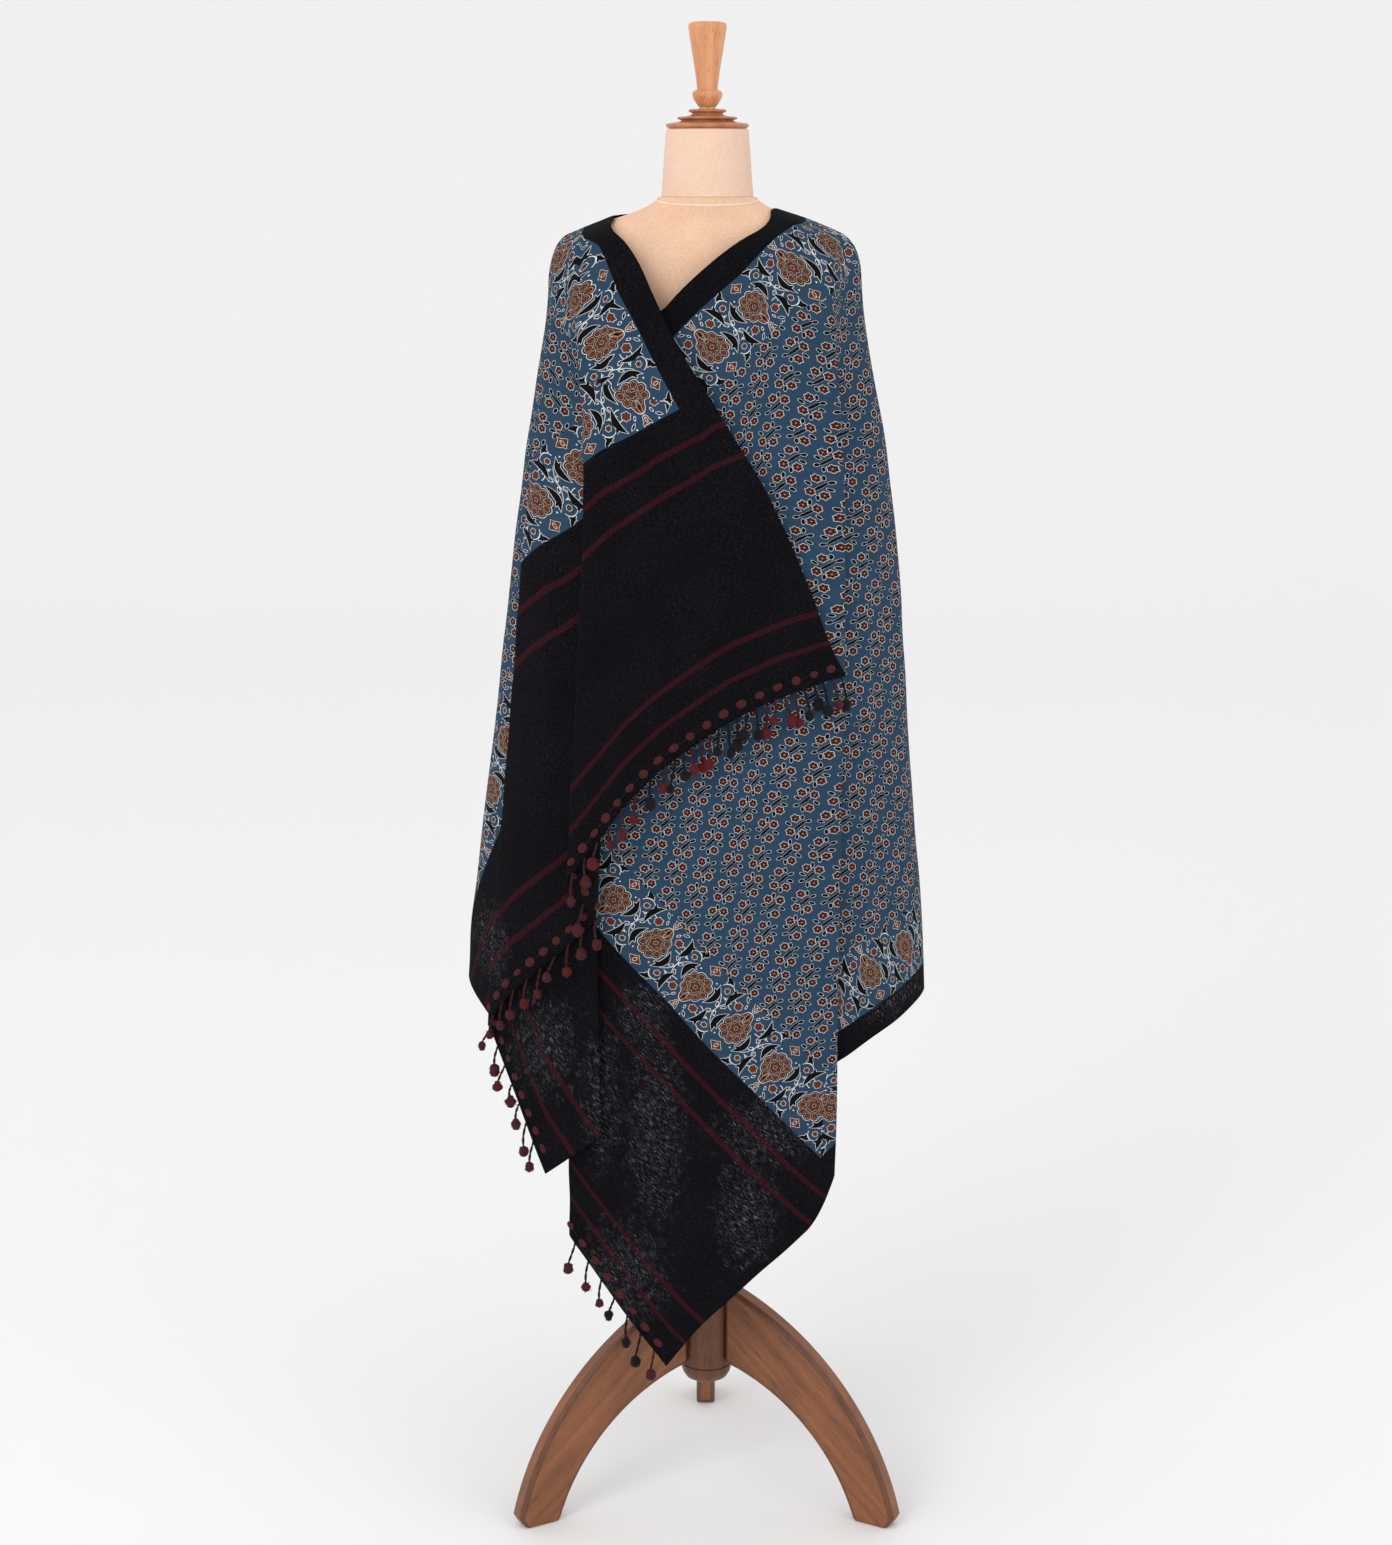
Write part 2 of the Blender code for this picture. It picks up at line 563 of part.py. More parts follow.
def make_cloth(collection, drape):
    """All panels of the dupatta, each a stretch of the one sheet."""
    printed = new_material("indigo_block_print_cotton", INDIGO, 0.85)
    black = new_material("black_handwoven_cotton", BLACK, 0.90)
    back_start = float(drape.names.index(BACK_STARTS))
    back_stop = float(drape.names.index(BACK_ENDS))
    stretches = {
        "left": (0.0, back_start - STRETCH_CUT),
        "back": (back_start + STRETCH_CUT, back_stop - STRETCH_CUT),
        "right": (back_stop + STRETCH_CUT, drape.last),
    }
    for side, (start, stop) in stretches.items():
        lines = panel_lines(drape, start, stop)
        panel_object("print_" + side, drape, lines, "print", PRINT_ROWS, collection, printed)
        panel_object("neck_border_" + side, drape, lines, "neck_border", 1, collection, black)
        if start >= drape.seam_over[1] - 1.0:
            panel_object("hem_border_" + side, drape, lines, "hem_border", 1, collection, black)
    middle = (drape.over_foot + drape.under_foot) / 2
    over_lines = panel_lines(drape, 0.0, middle)
    under_lines = panel_lines(drape, middle, drape.last)
    panel_object("end_panel_over", drape, over_lines, "end_panel", END_ROWS, collection, black)
    panel_object("end_panel_under", drape, under_lines, "end_panel", END_ROWS, collection, black)


def strand(bm, root, outward, turn):
    """One thread with its pompom: a thin three sided rod that swells near its lower end."""
    outline = [(0.0, THREAD_HALF, 0.0), (0.45, THREAD_HALF, 1.0), (0.62, THREAD_HALF, 1.0),
               (0.80, POMPOM_HALF, 1.0), (1.0, THREAD_HALF, 1.0)]
    rings = []
    for share, half, lean in outline:
        centre = Vector(root) + Vector(outward) * (TASSEL_LEAN * lean)
        centre.z -= TASSEL_LENGTH * share
        ring = []
        for side in range(3):
            angle = turn + side * math.tau / 3
            ring.append(bm.verts.new(centre + Vector((math.cos(angle), math.sin(angle), 0)) * half))
        rings.append(ring)
    for upper, lower in zip(rings[:-1], rings[1:]):
        for side in range(3):
            other = (side + 1) % 3
            bm.faces.new((upper[side], lower[side], lower[other], upper[other]))
    bm.faces.new(rings[0])
    bm.faces.new(list(reversed(rings[-1])))


def strip_root(drape, line):
    """Where a tassel on one plumb line would start inside the strip."""
    station = drape.station(line)
    upper, lower = wall_bounds(station, "tassel_strip")
    length = upper + (lower - upper) * TASSEL_ROOT
    depth = float(np.interp(length, station["lengths"], station["depths"]))
    return drape.point(line, depth)


def stands_close(root, other):
    """Whether two tassels hang so near each other in plan and in height that they might touch."""
    aside = math.dist(root[:2], other[:2])
    return aside < TASSEL_APART and abs(root[2] - other[2]) < TASSEL_LENGTH * 1.5


def tassel_row(name, drape, stretch, kept, collection, material):
    """A narrow strip along a stretch of the cloth's end with its tassels fused to it."""
    start, stop = stretch
    lines = panel_lines(drape, start, stop)
    strip = panel_object(name, drape, lines, "tassel_strip", 1, collection, material)
    inside = (drape.dense >= start) & (drape.dense <= stop)
    flat = drape.end_v[inside]
    places = drape.dense[inside]
    if flat[-1] < flat[0]:
        flat, places = flat[::-1], places[::-1]
    rooted = np.array([strip_root(drape, float(line)) for line in lines])
    bm = bmesh.new()
    count = int((flat[-1] - flat[0]) / TASSEL_SPACING)
    for index in range(count):
        line = float(np.interp(flat[0] + (index + 0.5) * TASSEL_SPACING, flat, places))
        root = np.array([np.interp(line, lines, rooted[:, axis]) for axis in range(3)])
        if any(stands_close(root, other) for other in kept):
            continue
        kept.append(root)
        outward = root * (1.0, 1.0, 0.0) / math.hypot(root[0], root[1])
        strand(bm, root, outward, index * TASSEL_TURN)
    bmesh.ops.recalc_face_normals(bm, faces=bm.faces)
    strands = mesh_object(name + "_strands", bm, collection, material)
    union = strip.modifiers.new("strands", "BOOLEAN")
    union.operation = "UNION"
    union.object = strands
    bpy.context.view_layer.update()
    evaluated = strip.evaluated_get(bpy.context.evaluated_depsgraph_get())
    joined = bpy.data.meshes.new_from_object(evaluated)
    strip.modifiers.clear()
    strip.data = joined
    bpy.data.objects.remove(strands, do_unlink=True)


def make_tassels(collection, drape):
    """Each row of tassels, parted where the cloth's end turns back in a pleat."""
    wool = new_material("maroon_wool_tassels", MAROON, 0.90)
    kept = []
    for name, ends in TASSEL_ROWS.items():
        start, stop = (float(drape.names.index(end)) for end in ends)
        tassel_row(name, drape, (start + ROW_CUT, stop - ROW_CUT), kept, collection, wool)


def turned(name, profile, sides, collection, material, place=(0.0, 0.0)):
    """A turned piece: its profile, top to bottom, on a Screw modifier, closed on the axis."""
    points = [(0.0, profile[0][1])] + list(profile) + [(0.0, profile[-1][1])]
    bm = bmesh.new()
    verts = [bm.verts.new((radius, 0.0, height)) for radius, height in points]
    for upper, lower in zip(verts[:-1], verts[1:]):
        bm.edges.new((upper, lower))
    obj = mesh_object(name, bm, collection, material)
    screw = obj.modifiers.new("turn", "SCREW")
    screw.steps = sides
    screw.render_steps = sides
    screw.use_merge_vertices = True
    screw.merge_threshold = 0.00001
    obj.location = (place[0], place[1], 0.0)
    return obj


def make_form(collection):
    """The linen covered form: a lofted torso under a separate neck block."""
    linen = new_material("beige_linen_cover", LINEN, 0.90)
    bm = bmesh.new()
    loops = []
    for height, half_width, half_depth, middle in FORM_RINGS:
        loop = []
        for side in range(FORM_SIDES):
            angle = math.tau * side / FORM_SIDES
            x = half_width * math.cos(angle)
            loop.append(bm.verts.new((x, middle + half_depth * math.sin(angle), height)))
        loops.append(loop)
    for upper, lower in zip(loops[:-1], loops[1:]):
        for side in range(FORM_SIDES):
            other = (side + 1) % FORM_SIDES
            bm.faces.new((upper[side], lower[side], lower[other], upper[other]))
    bm.faces.new(loops[0])
    bm.faces.new(list(reversed(loops[-1])))
    mesh_object("form_torso", bm, collection, linen, 50)
    turned("form_neck", NECK_PROFILE, TURNED_SIDES, collection, linen, (0.0, NECK_Y))


def make_fittings(collection):
    """The turned neck cap, its brass washer and the finial, one over the other."""
    walnut = new_material("walnut_turned", WALNUT, 0.45)
    honey = new_material("honey_wood_turned", HONEY_WOOD, 0.40)
    brass = new_material("brass_washer", BRASS, 0.30, 1.0)
    place = (0.0, NECK_Y)
    turned("neck_cap", CAP_PROFILE, TURNED_SIDES, collection, walnut, place)
    washer = [(WASHER_RADIUS, WASHER_Z[1]), (WASHER_RADIUS, WASHER_Z[0])]
    turned("washer", washer, TURNED_SIDES, collection, brass, place)
    turned("finial", FINIAL_PROFILE, TURNED_SIDES, collection, honey, place)


def arc_through(points, steps):
    """Points along the circle arc through three points in the leg's plane."""
    (ax, ay), (bx, by), (cx, cy) = points
    twice = 2 * (ax * (by - cy) + bx * (cy - ay) + cx * (ay - by))
    squares = (ax * ax + ay * ay, bx * bx + by * by, cx * cx + cy * cy)
    ux = (squares[0] * (by - cy) + squares[1] * (cy - ay) + squares[2] * (ay - by)) / twice
    uy = (squares[0] * (cx - bx) + squares[1] * (ax - cx) + squares[2] * (bx - ax)) / twice
    radius = math.hypot(ax - ux, ay - uy)
    first = math.atan2(ay - uy, ax - ux)
    last = math.atan2(cy - uy, cx - ux)
    angles = [first + (last - first) * step / steps for step in range(steps + 1)]
    return [(ux + radius * math.cos(angle), uy + radius * math.sin(angle)) for angle in angles]


def make_leg(name, turn, collection, material):
    """A flat board cut to two arcs, standing out from the hub."""
    outline = arc_through(LEG_OUTER, LEG_ARC_STEPS) + [LEG_TOE]
    outline += list(reversed(arc_through(LEG_INNER, LEG_ARC_STEPS)))
    curve = bpy.data.curves.new(name, "CURVE")
    curve.dimensions = "2D"
    curve.fill_mode = "BOTH"
    curve.extrude = LEG_THICKNESS / 2
    spline = curve.splines.new("POLY")
    spline.points.add(len(outline) - 1)
    for point, (radius, height) in zip(spline.points, outline):
        point.co = (radius, height, 0.0, 1.0)
    spline.use_cyclic_u = True
    flat = bpy.data.objects.new(name + "_outline", curve)
    collection.objects.link(flat)
    bpy.context.view_layer.update()
    evaluated = flat.evaluated_get(bpy.context.evaluated_depsgraph_get())
    mesh = bpy.data.meshes.new_from_object(evaluated)
    bpy.data.objects.remove(flat, do_unlink=True)
    bm = bmesh.new()
    bm.from_mesh(mesh)
    bmesh.ops.remove_doubles(bm, verts=bm.verts, dist=0.00001)
    bmesh.ops.dissolve_limit(bm, angle_limit=math.radians(1), verts=bm.verts, edges=bm.edges)
    bmesh.ops.recalc_face_normals(bm, faces=bm.faces)
    leg = mesh_object(name, bm, collection, material)
    leg.rotation_euler = (math.radians(90), 0.0, math.radians(turn))
    bevel = leg.modifiers.new("edge", "BEVEL")
    bevel.width = LEG_EDGE
    bevel.segments = 1
    bevel.limit_method = "ANGLE"
    bevel.angle_limit = math.radians(60)
    return leg


def make_stand(collection):
    """Pole, turned hub and three arched legs."""
    walnut = new_material("walnut_oiled", WALNUT, 0.50)
    pole_top = FORM_RINGS[-1][0] - SEAM_GAP
    pole = [(POLE_RADIUS, pole_top), (POLE_RADIUS, HUB_TOP + SEAM_GAP)]
    turned("pole", pole, TURNED_SIDES, collection, walnut)
    base = HUB_RADIUS
    hub = [(base - 0.006, HUB_TOP), (base, HUB_TOP - 0.006), (base, GROOVE_Z + 0.0012),
           (base - 0.0012, GROOVE_Z), (base, GROOVE_Z - 0.0012), (base * 0.96, HUB_BOTTOM + 0.012),
           (base * 0.80, HUB_BOTTOM + 0.005), (base * 0.50, HUB_BOTTOM + 0.0012),
           (base * 0.15, HUB_BOTTOM)]
    turned("hub", hub, TURNED_SIDES, collection, walnut)
    for name, turn in LEG_TURNS.items():
        make_leg(name, turn, collection, walnut)


def main():
    """Build the whole part and place it over its origin."""
    clear_scene()
    parts = new_collection("dupatta_on_dress_form")
    drape = Drape()
    make_cloth(parts, drape)
    make_tassels(parts, drape)
    make_form(parts)
    make_fittings(parts)
    make_stand(parts)
    for obj in parts.objects:
        obj.location += Vector(POLE_PLACE)


main()
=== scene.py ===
# %% [markdown]
# # A block printed dupatta on a dress form
#
# A dupatta is one long flat cloth. This one is 2.00 m by 0.91 m: blue block printed cotton
# between two black borders, with a black handwoven panel and a row of pompom tassels at each
# end. It goes over one shoulder, round the back, under the other shoulder and across the
# front, and its own weight folds it.
#
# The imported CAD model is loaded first. It is the fixed frame: every piece here takes its place
# from it, in metres, with +Z up and the viewer on the -Y side.

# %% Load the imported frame
import math

import bmesh
import bpy
import numpy as np
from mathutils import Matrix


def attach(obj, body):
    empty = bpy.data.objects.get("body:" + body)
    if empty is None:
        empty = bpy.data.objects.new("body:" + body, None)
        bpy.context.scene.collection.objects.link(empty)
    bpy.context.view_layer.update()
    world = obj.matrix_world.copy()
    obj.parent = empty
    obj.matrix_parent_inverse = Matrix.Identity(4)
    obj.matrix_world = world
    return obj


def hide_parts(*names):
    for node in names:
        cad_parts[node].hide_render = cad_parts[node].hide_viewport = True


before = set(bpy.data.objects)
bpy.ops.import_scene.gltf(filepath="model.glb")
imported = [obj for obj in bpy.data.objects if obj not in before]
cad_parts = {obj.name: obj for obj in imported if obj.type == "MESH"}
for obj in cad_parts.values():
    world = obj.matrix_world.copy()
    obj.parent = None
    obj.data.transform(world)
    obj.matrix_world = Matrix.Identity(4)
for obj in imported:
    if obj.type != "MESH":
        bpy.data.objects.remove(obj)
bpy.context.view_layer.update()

# %% [markdown]
# ## A camera where the photo was taken from
#
# The photo's perspective, the three feet on one floor and the usual proportions of a floor
# form put the camera about 3.2 m away and 1.6 m up, looking a little down. A lens of 72 mm on
# a 36 mm wide sensor then gives the photo's frame.

# %% Camera
CAMERA_PLACE = (-0.000566, -3.2482, 1.5992)
CAMERA_DOWN = 12.3755
LENS, SENSOR = 72.067, 36.0


def new_object(name, data):
    """An object for a mesh, camera or lamp, put into the scene."""
    thing = bpy.data.objects.new(name, data)
    bpy.context.scene.collection.objects.link(thing)
    return thing


camera_data = bpy.data.cameras.new("studio_camera")
camera_data.sensor_fit = "HORIZONTAL"
camera_data.sensor_width, camera_data.lens = SENSOR, LENS
camera = new_object("studio_camera", camera_data)
camera.location = CAMERA_PLACE
camera.rotation_euler = (math.radians(90.0 - CAMERA_DOWN), 0.0, 0.0)
bpy.context.scene.camera = camera
print("camera", round(-CAMERA_PLACE[1], 2), "m in front of the cloth")

# %% [markdown]
# ## Helpers for the materials
#
# Colours are written as sRGB hex values, as a picker shows them, and one function turns them
# into the linear values that Blender mixes. A second function adds a node, with its settings
# and its links. What a node gives is a `Field`, a number or colour that varies over the
# surface. The signs of arithmetic work on fields: each adds a Math node, from the table below.

# %% Colours and nodes
def linear(hex_colour):
    """sRGB hex to linear RGBA: values under 0.04045 are divided by 12.92, others raised to 2.4."""
    parts = [int(hex_colour[i:i + 2], 16) / 255 for i in (1, 3, 5)]
    return (*(p / 12.92 if p <= 0.04045 else ((p + 0.055) / 1.055) ** 2.4 for p in parts), 1.0)


class Field:
    """One output of a node."""

    def __init__(self, node, output=0):
        self.node, self.tree, self.socket = node, node.id_data, node.outputs[output]


def add(tree, kind, *values, **settings):
    """Add a node. Lower case settings are its own, capitalised ones name its sockets."""
    node = tree.nodes.new("ShaderNode" + kind)
    feeds = list(enumerate(values))
    for name, value in settings.items():
        if name[0].islower():
            setattr(node, name, value)
        else:
            feeds.append((name.replace("_", " "), value))
    for place, value in feeds:
        if isinstance(value, Field):
            tree.links.new(value.socket, node.inputs[place])
        else:
            node.inputs[place].default_value = value
    return Field(node)


OPERATIONS = {
    "__add__": "ADD", "__sub__": "SUBTRACT", "__mul__": "MULTIPLY", "__pow__": "POWER",
    "__lt__": "LESS_THAN", "__gt__": "GREATER_THAN", "__abs__": "ABSOLUTE", "least": "MINIMUM",
    "most": "MAXIMUM", "sine": "SINE", "cosine": "COSINE", "nearest": "ROUND", "angle": "ARCTAN2",
}


def operation_named(operation):
    """What a sign or word of the table does: it adds that Math node."""
    return lambda field, *others: add(field.tree, "Math", field, *others, operation=operation)


for word, operation in OPERATIONS.items():
    setattr(Field, word, operation_named(operation))


# %% Materials and what is linked into them
def material_named(name, **settings):
    """A Principled material with its plain settings; gives the material, its shader and the
    object's own coordinates."""
    material = bpy.data.materials.new(name)
    material.use_nodes = True
    shader = material.node_tree.nodes["Principled BSDF"]
    for socket, value in settings.items():
        shader.inputs[socket.replace("_", " ")].default_value = value
    return material, shader, Field(add(material.node_tree, "TexCoord").node, "Object")


def paint(shader, colour, height=None, strength=0.0, depth=0.0):
    """Link a colour into the shader and, where a height is given, a bump made from it."""
    tree = shader.id_data
    tree.links.new(colour.socket, shader.inputs["Base Color"])
    if height is not None:
        bump = add(tree, "Bump", Height=height, Strength=strength, Distance=depth)
        tree.links.new(bump.socket, shader.inputs["Normal"])


print("helpers ready, sRGB #808080 is linear", round(linear("#808080")[0], 4))

# %% [markdown]
# ## The sheet of cloth as a function
#
# A real dupatta is one sheet, so it is one surface here too: a function of two parameters.
# The first counts plumb lines, from the end thrown over the shoulder, round the back, to the
# end that hangs in front. The second goes down each plumb line, ring by ring round the body.
# A smooth quadratic spline follows a net of ring points. Its tables are those of the CAD
# part, so the fine cloth lies in the space that the solids hold. At a pleat, the plumb lines
# turn back and go on a layer further in, just as the cloth does.

# %% Rings and plumb lines
POLE_PLACE = np.array((0.0122, -0.0482, 0.0))

# Flat cloth
CLOTH_LENGTH, CLOTH_WIDTH = 2.00, 0.91
END_PANEL = 0.35
BORDER = 0.032
FAR_SEAM = CLOTH_LENGTH - END_PANEL
LAYER_PITCH = 0.0062

# Rings of the sheet, top to bottom: height, x and y of the middle, half width, front and back
# depth, how it tilts up towards the photo's right, how much of the layers' spacing it shows,
# and how much of the soft folds
SHEET_RINGS = {
    "neck": (1.5430, -0.0125, 0.018, 0.0925, 0.070, 0.066, 0.044, 0.10, 0.0),
    "slope": (1.5285, -0.0050, 0.011, 0.1330, 0.079, 0.080, 0.018, 0.25, 0.0),
    "shoulder": (1.5115, 0.0010, 0.006, 0.1735, 0.090, 0.096, 0.000, 0.40, 0.0),
    "upper": (1.4300, 0.0005, 0.002, 0.1785, 0.108, 0.108, 0.000, 0.68, 0.0),
    "bust": (1.2500, 0.0040, 0.000, 0.2095, 0.128, 0.120, 0.000, 1.00, 0.35),
    "waist": (0.9500, -0.0010, 0.000, 0.2380, 0.1365, 0.135, 0.000, 1.00, 0.675),
    "hem": (0.6200, -0.0065, 0.000, 0.2750, 0.145, 0.150, 0.000, 1.00, 1.0),
    "low": (0.1000, -0.0065, 0.000, 0.2750, 0.116, 0.150, 0.000, 1.00, 1.0),
}
NECK_Z = 1.544

# Each plumb line in the order of the cloth, from the end thrown over the left shoulder, round
# the back, to the end that hangs in front. The first four are turns in degrees round the body
# from the front towards the photo's left, on four rings; layer counts the cloths that lie under
# it; swell is millimetres of soft fold at the hem; the last three are heights in metres of the
# neck edge, of the seam between print and end panel (above the neck edge or below the hem where
# it isn't met), and of the line's lower end. A height of NECK_Z starts at the neck.
LINE_COLUMNS = ("name", "neck", "shoulder", "bust", "hem", "layer", "swell", "top", "seam", "end")
PLUMB_LINES = [
    ("over corner", -60, -55, -45.8, -34.1, 1.3, 0, 1.032, 1.440, 1.032),
    ("over 1", -52, -47, -37.9, -28.7, 1.4, 0, 1.075, 1.425, 1.028),
    ("over 2", -45, -38, -30.2, -23.2, 1.6, 0, 1.143, 1.410, 1.021),
    ("over 3", -34, -24, -16.4, -12.8, 2.0, 0, 1.244, 1.385, 1.006),
    ("over 4", -14, -10, -3.9, -3.1, 2.4, 2, 1.310, 1.360, 0.982),
    ("over 5", 10, 9, 8.4, 6.6, 3.0, 4, 1.392, 1.335, 0.948),
    ("over 6", 28, 17, 14.7, 11.4, 3.5, 5, 1.443, 1.322, 0.929),
    ("over 7", 52, 27, 23.5, 18.4, 4.1, 4, 1.505, 1.303, 0.893),
    ("over 8", 72, 40, 31.0, 24.6, 4.7, 2, 1.544, 1.289, 0.850),
    ("first pleat edge", 76, 48, 37.0, 34.4, 5.0, 0, 1.544, 1.272, 0.800),
    ("first pleat root", 79, 54, 27.5, 26.5, 4.0, 0, 1.544, 1.237, 0.757),
    ("over 9", 82, 60, 44.0, 41.0, 3.0, 0, 1.544, 1.197, 0.695),
    ("over 10", 85, 65, 56.0, 53.0, 3.0, 2, 1.544, 1.178, 0.655),
    ("second pleat edge", 88, 70, 67.0, 62.0, 3.0, 0, 1.544, 1.153, 0.610),
    ("over foot", 91, 75, 53.6, 40.2, 2.0, 0, 1.544, 1.075, 0.440),
    ("second pleat root", 94, 79, 42.0, 24.5, 2.0, 0, 1.544, 0.985, 0.495),
    ("inner side", 97, 83, 56.0, 45.0, 1.0, 0, 1.544, 0.920, 0.560),
    ("left side 1", 100, 87, 70.0, 65.0, 1.0, 4, 1.544, 0.850, 0.622),
    ("left side 2", 105, 94, 88.0, 88.0, 1.0, 14, 1.544, 0.722, 0.660),
    ("back 1", 114, 107, 106.0, 103.0, 0.6, -8, 1.544, 0.600, 0.645),
    ("back 2", 124, 121, 121.0, 119.0, 0.3, 24, 1.544, 0.500, 0.630),
    ("back 3", 135, 135, 136.0, 134.0, 0.0, -20, 1.544, 0.450, 0.615),
    ("back 4", 148, 150, 151.0, 148.0, 0.0, 22, 1.544, 0.450, 0.600),
    ("back 5", 163, 165, 166.0, 163.0, 0.0, -18, 1.544, 0.450, 0.592),
    ("back 6", 178, 180, 181.0, 179.0, 0.0, 19, 1.544, 0.450, 0.588),
    ("back 7", 194, 195, 196.0, 196.0, 0.0, -21, 1.544, 0.450, 0.590),
    ("back 8", 210, 210, 211.0, 212.0, 0.0, 24, 1.544, 0.450, 0.598),
    ("back 9", 225, 225, 226.0, 228.0, 0.0, -19, 1.544, 0.450, 0.610),
    ("back 10", 238, 240, 242.0, 244.0, 0.0, 20, 1.544, 0.450, 0.622),
    ("back 11", 249, 252, 257.0, 259.0, 0.0, -9, 1.544, 0.450, 0.632),
    ("right side 1", 257, 264, 272.0, 273.0, -0.2, 3, 1.544, 0.450, 0.640),
    ("right side 2", 263, 275, 288.0, 292.0, -0.8, 0, 1.544, 0.440, 0.622),
    ("right side 3", 268, 285, 302.0, 312.0, -1.6, -2, 1.544, 0.430, 0.596),
    ("right side 4", 272, 293, 313.0, 325.0, -2.0, 0, 1.544, 0.420, 0.570),
    ("third pleat root", 276, 300, 327.0, 346.5, -2.0, 0, 1.544, 0.415, 0.530),
    ("third pleat edge", 280, 306, 313.0, 325.0, -1.0, 0, 1.544, 0.443, 0.438),
    ("under 1", 284, 312, 321.4, 331.0, 0.0, 0, 1.544, 0.468, 0.380),
    ("under 2", 290, 320, 328.2, 335.7, 0.0, 1, 1.544, 0.490, 0.362),
    ("under 3", 301, 334, 342.7, 346.5, 0.0, 4, 1.541, 0.545, 0.320),
    ("under 4", 322, 348, 352.4, 354.1, 0.0, 5, 1.518, 0.583, 0.286),
    ("under 5", 342, 362, 362.2, 361.7, 0.0, 3, 1.484, 0.621, 0.249),
    ("under foot", 363, 376, 373.0, 368.6, 0.0, 0, 1.442, 0.661, 0.202),
    ("under 6", 378, 386, 381.4, 376.5, 0.0, -1, 1.417, 0.695, 0.250),
    ("under 7", 396, 399, 393.0, 387.6, 0.0, 0, 1.382, 0.744, 0.322),
    ("fourth pleat edge", 402, 406, 399.5, 394.6, 0.0, 0, 1.360, 0.785, 0.362),
    ("wedge 1", 383, 385, 383.0, 380.0, -1.0, 0, 1.297, 0.837, 0.418),
    ("wedge 2", 364, 366, 367.0, 365.0, -1.0, 0, 1.243, 0.888, 0.474),
    ("fourth pleat root", 345, 347, 347.3, 350.1, -1.0, 0, 1.190, 0.940, 0.530),
    ("wedge 3", 363, 365, 366.0, 364.5, -2.0, 0, 1.137, 0.993, 0.587),
    ("wedge 4", 382, 384, 385.0, 379.0, -2.0, 0, 1.083, 1.047, 0.643),
    ("fifth pleat edge", 400, 402, 404.0, 393.0, -2.0, 0, 1.030, 1.100, 0.700),
    ("wedge 5", 382, 384, 385.5, 379.0, -3.0, 0, 0.977, 1.150, 0.757),
    ("wedge 6", 363, 365, 366.8, 364.8, -3.0, 0, 0.923, 1.200, 0.813),
    ("under corner", 345, 347, 348.0, 350.6, -3.0, 0, 0.870, 1.250, 0.870),
]
BACK_STARTS, BACK_ENDS = "left side 2", "right side 1"

# %% [markdown]
# A fold of a pleat has cloth on both sides of it. So each plumb line named a pleat's edge or
# root is doubled: the second one lies a layer further in. Round the neck there is no room for
# that, and the two sides run together.

# %% The net that the cloth is stretched over
def doubled_at_pleats():
    """The plumb lines, with each pleat fold doubled so that its two sides lie a layer apart."""
    rows = [dict(zip(LINE_COLUMNS, line)) for line in PLUMB_LINES]
    control = []
    for row, after in zip(rows, rows[1:] + rows[-1:]):
        control.append(row)
        if "pleat" in row["name"]:
            inner = dict(row, name=row["name"] + " inner", layer=after["layer"])
            if row["top"] >= NECK_Z:
                for turn in ("neck", "shoulder"):
                    inner[turn] = (row[turn] + after[turn]) / 2
            control.append(inner)
    return control


def control_net(column):
    """The net that the sheet is stretched over: rings by plumb lines by x, y, z. Each point is
    on an oval ring at the line's turn, moved outward along the ring's normal by its layers."""
    neck, shoulder, bust, hem = (column[key] for key in ("neck", "shoulder", "bust", "hem"))
    turns = (neck, (neck + shoulder) / 2, shoulder, shoulder, bust, (bust + hem) / 2, hem, hem)
    layers = []
    for ring, turn in zip(SHEET_RINGS.values(), turns):
        z, middle_x, middle_y, half_width, front, back, tilt, pitch, fold = ring
        angle = np.radians(turn)
        depth = np.where(np.cos(angle) > 0, front, back)
        x, y = -half_width * np.sin(angle), -depth * np.cos(angle)
        normal = np.stack([x / half_width ** 2, y / depth ** 2], axis=-1)
        normal /= np.linalg.norm(normal, axis=-1, keepdims=True)
        outward = column["layer"] * LAYER_PITCH * pitch + column["swell"] / 1000.0 * fold
        plan = np.stack([middle_x + x, middle_y + y], axis=-1) + normal * outward[:, None]
        layers.append(np.column_stack([plan, z + tilt * plan[:, 0]]))
    return np.stack(layers)


def spline_weights(position, count):
    """Indices and weights of a clamped quadratic B-spline over so many control values."""
    position = np.clip(np.asarray(position, float), 0.0, count - 1.0)
    middle = np.clip(np.floor(position + 0.5).astype(int), 0, count - 1)
    offset = position - middle
    start, stop = middle == 0, middle == count - 1
    first = np.where(start, 0.0, np.where(stop, -offset, 0.5 * (0.5 - offset) ** 2))
    last = np.where(stop, 0.0, np.where(start, offset, 0.5 * (0.5 + offset) ** 2))
    before, after = (np.clip(middle + step, 0, count - 1) for step in (-1, 1))
    return (before, middle, after), (first, 1.0 - first - last, last)


def spline_values(values, position):
    """Evaluate the clamped quadratic B-spline of a table's column."""
    indices, weights = spline_weights(position, len(values))
    return sum(np.asarray(values, float)[i] * w for i, w in zip(indices, weights))


control = doubled_at_pleats()
names = [row["name"] for row in control]
columns = {key: np.array([row[key] for row in control], float) for key in LINE_COLUMNS[1:]}
net = control_net(columns)
print("net of", net.shape[0], "rings by", net.shape[1], "plumb lines")

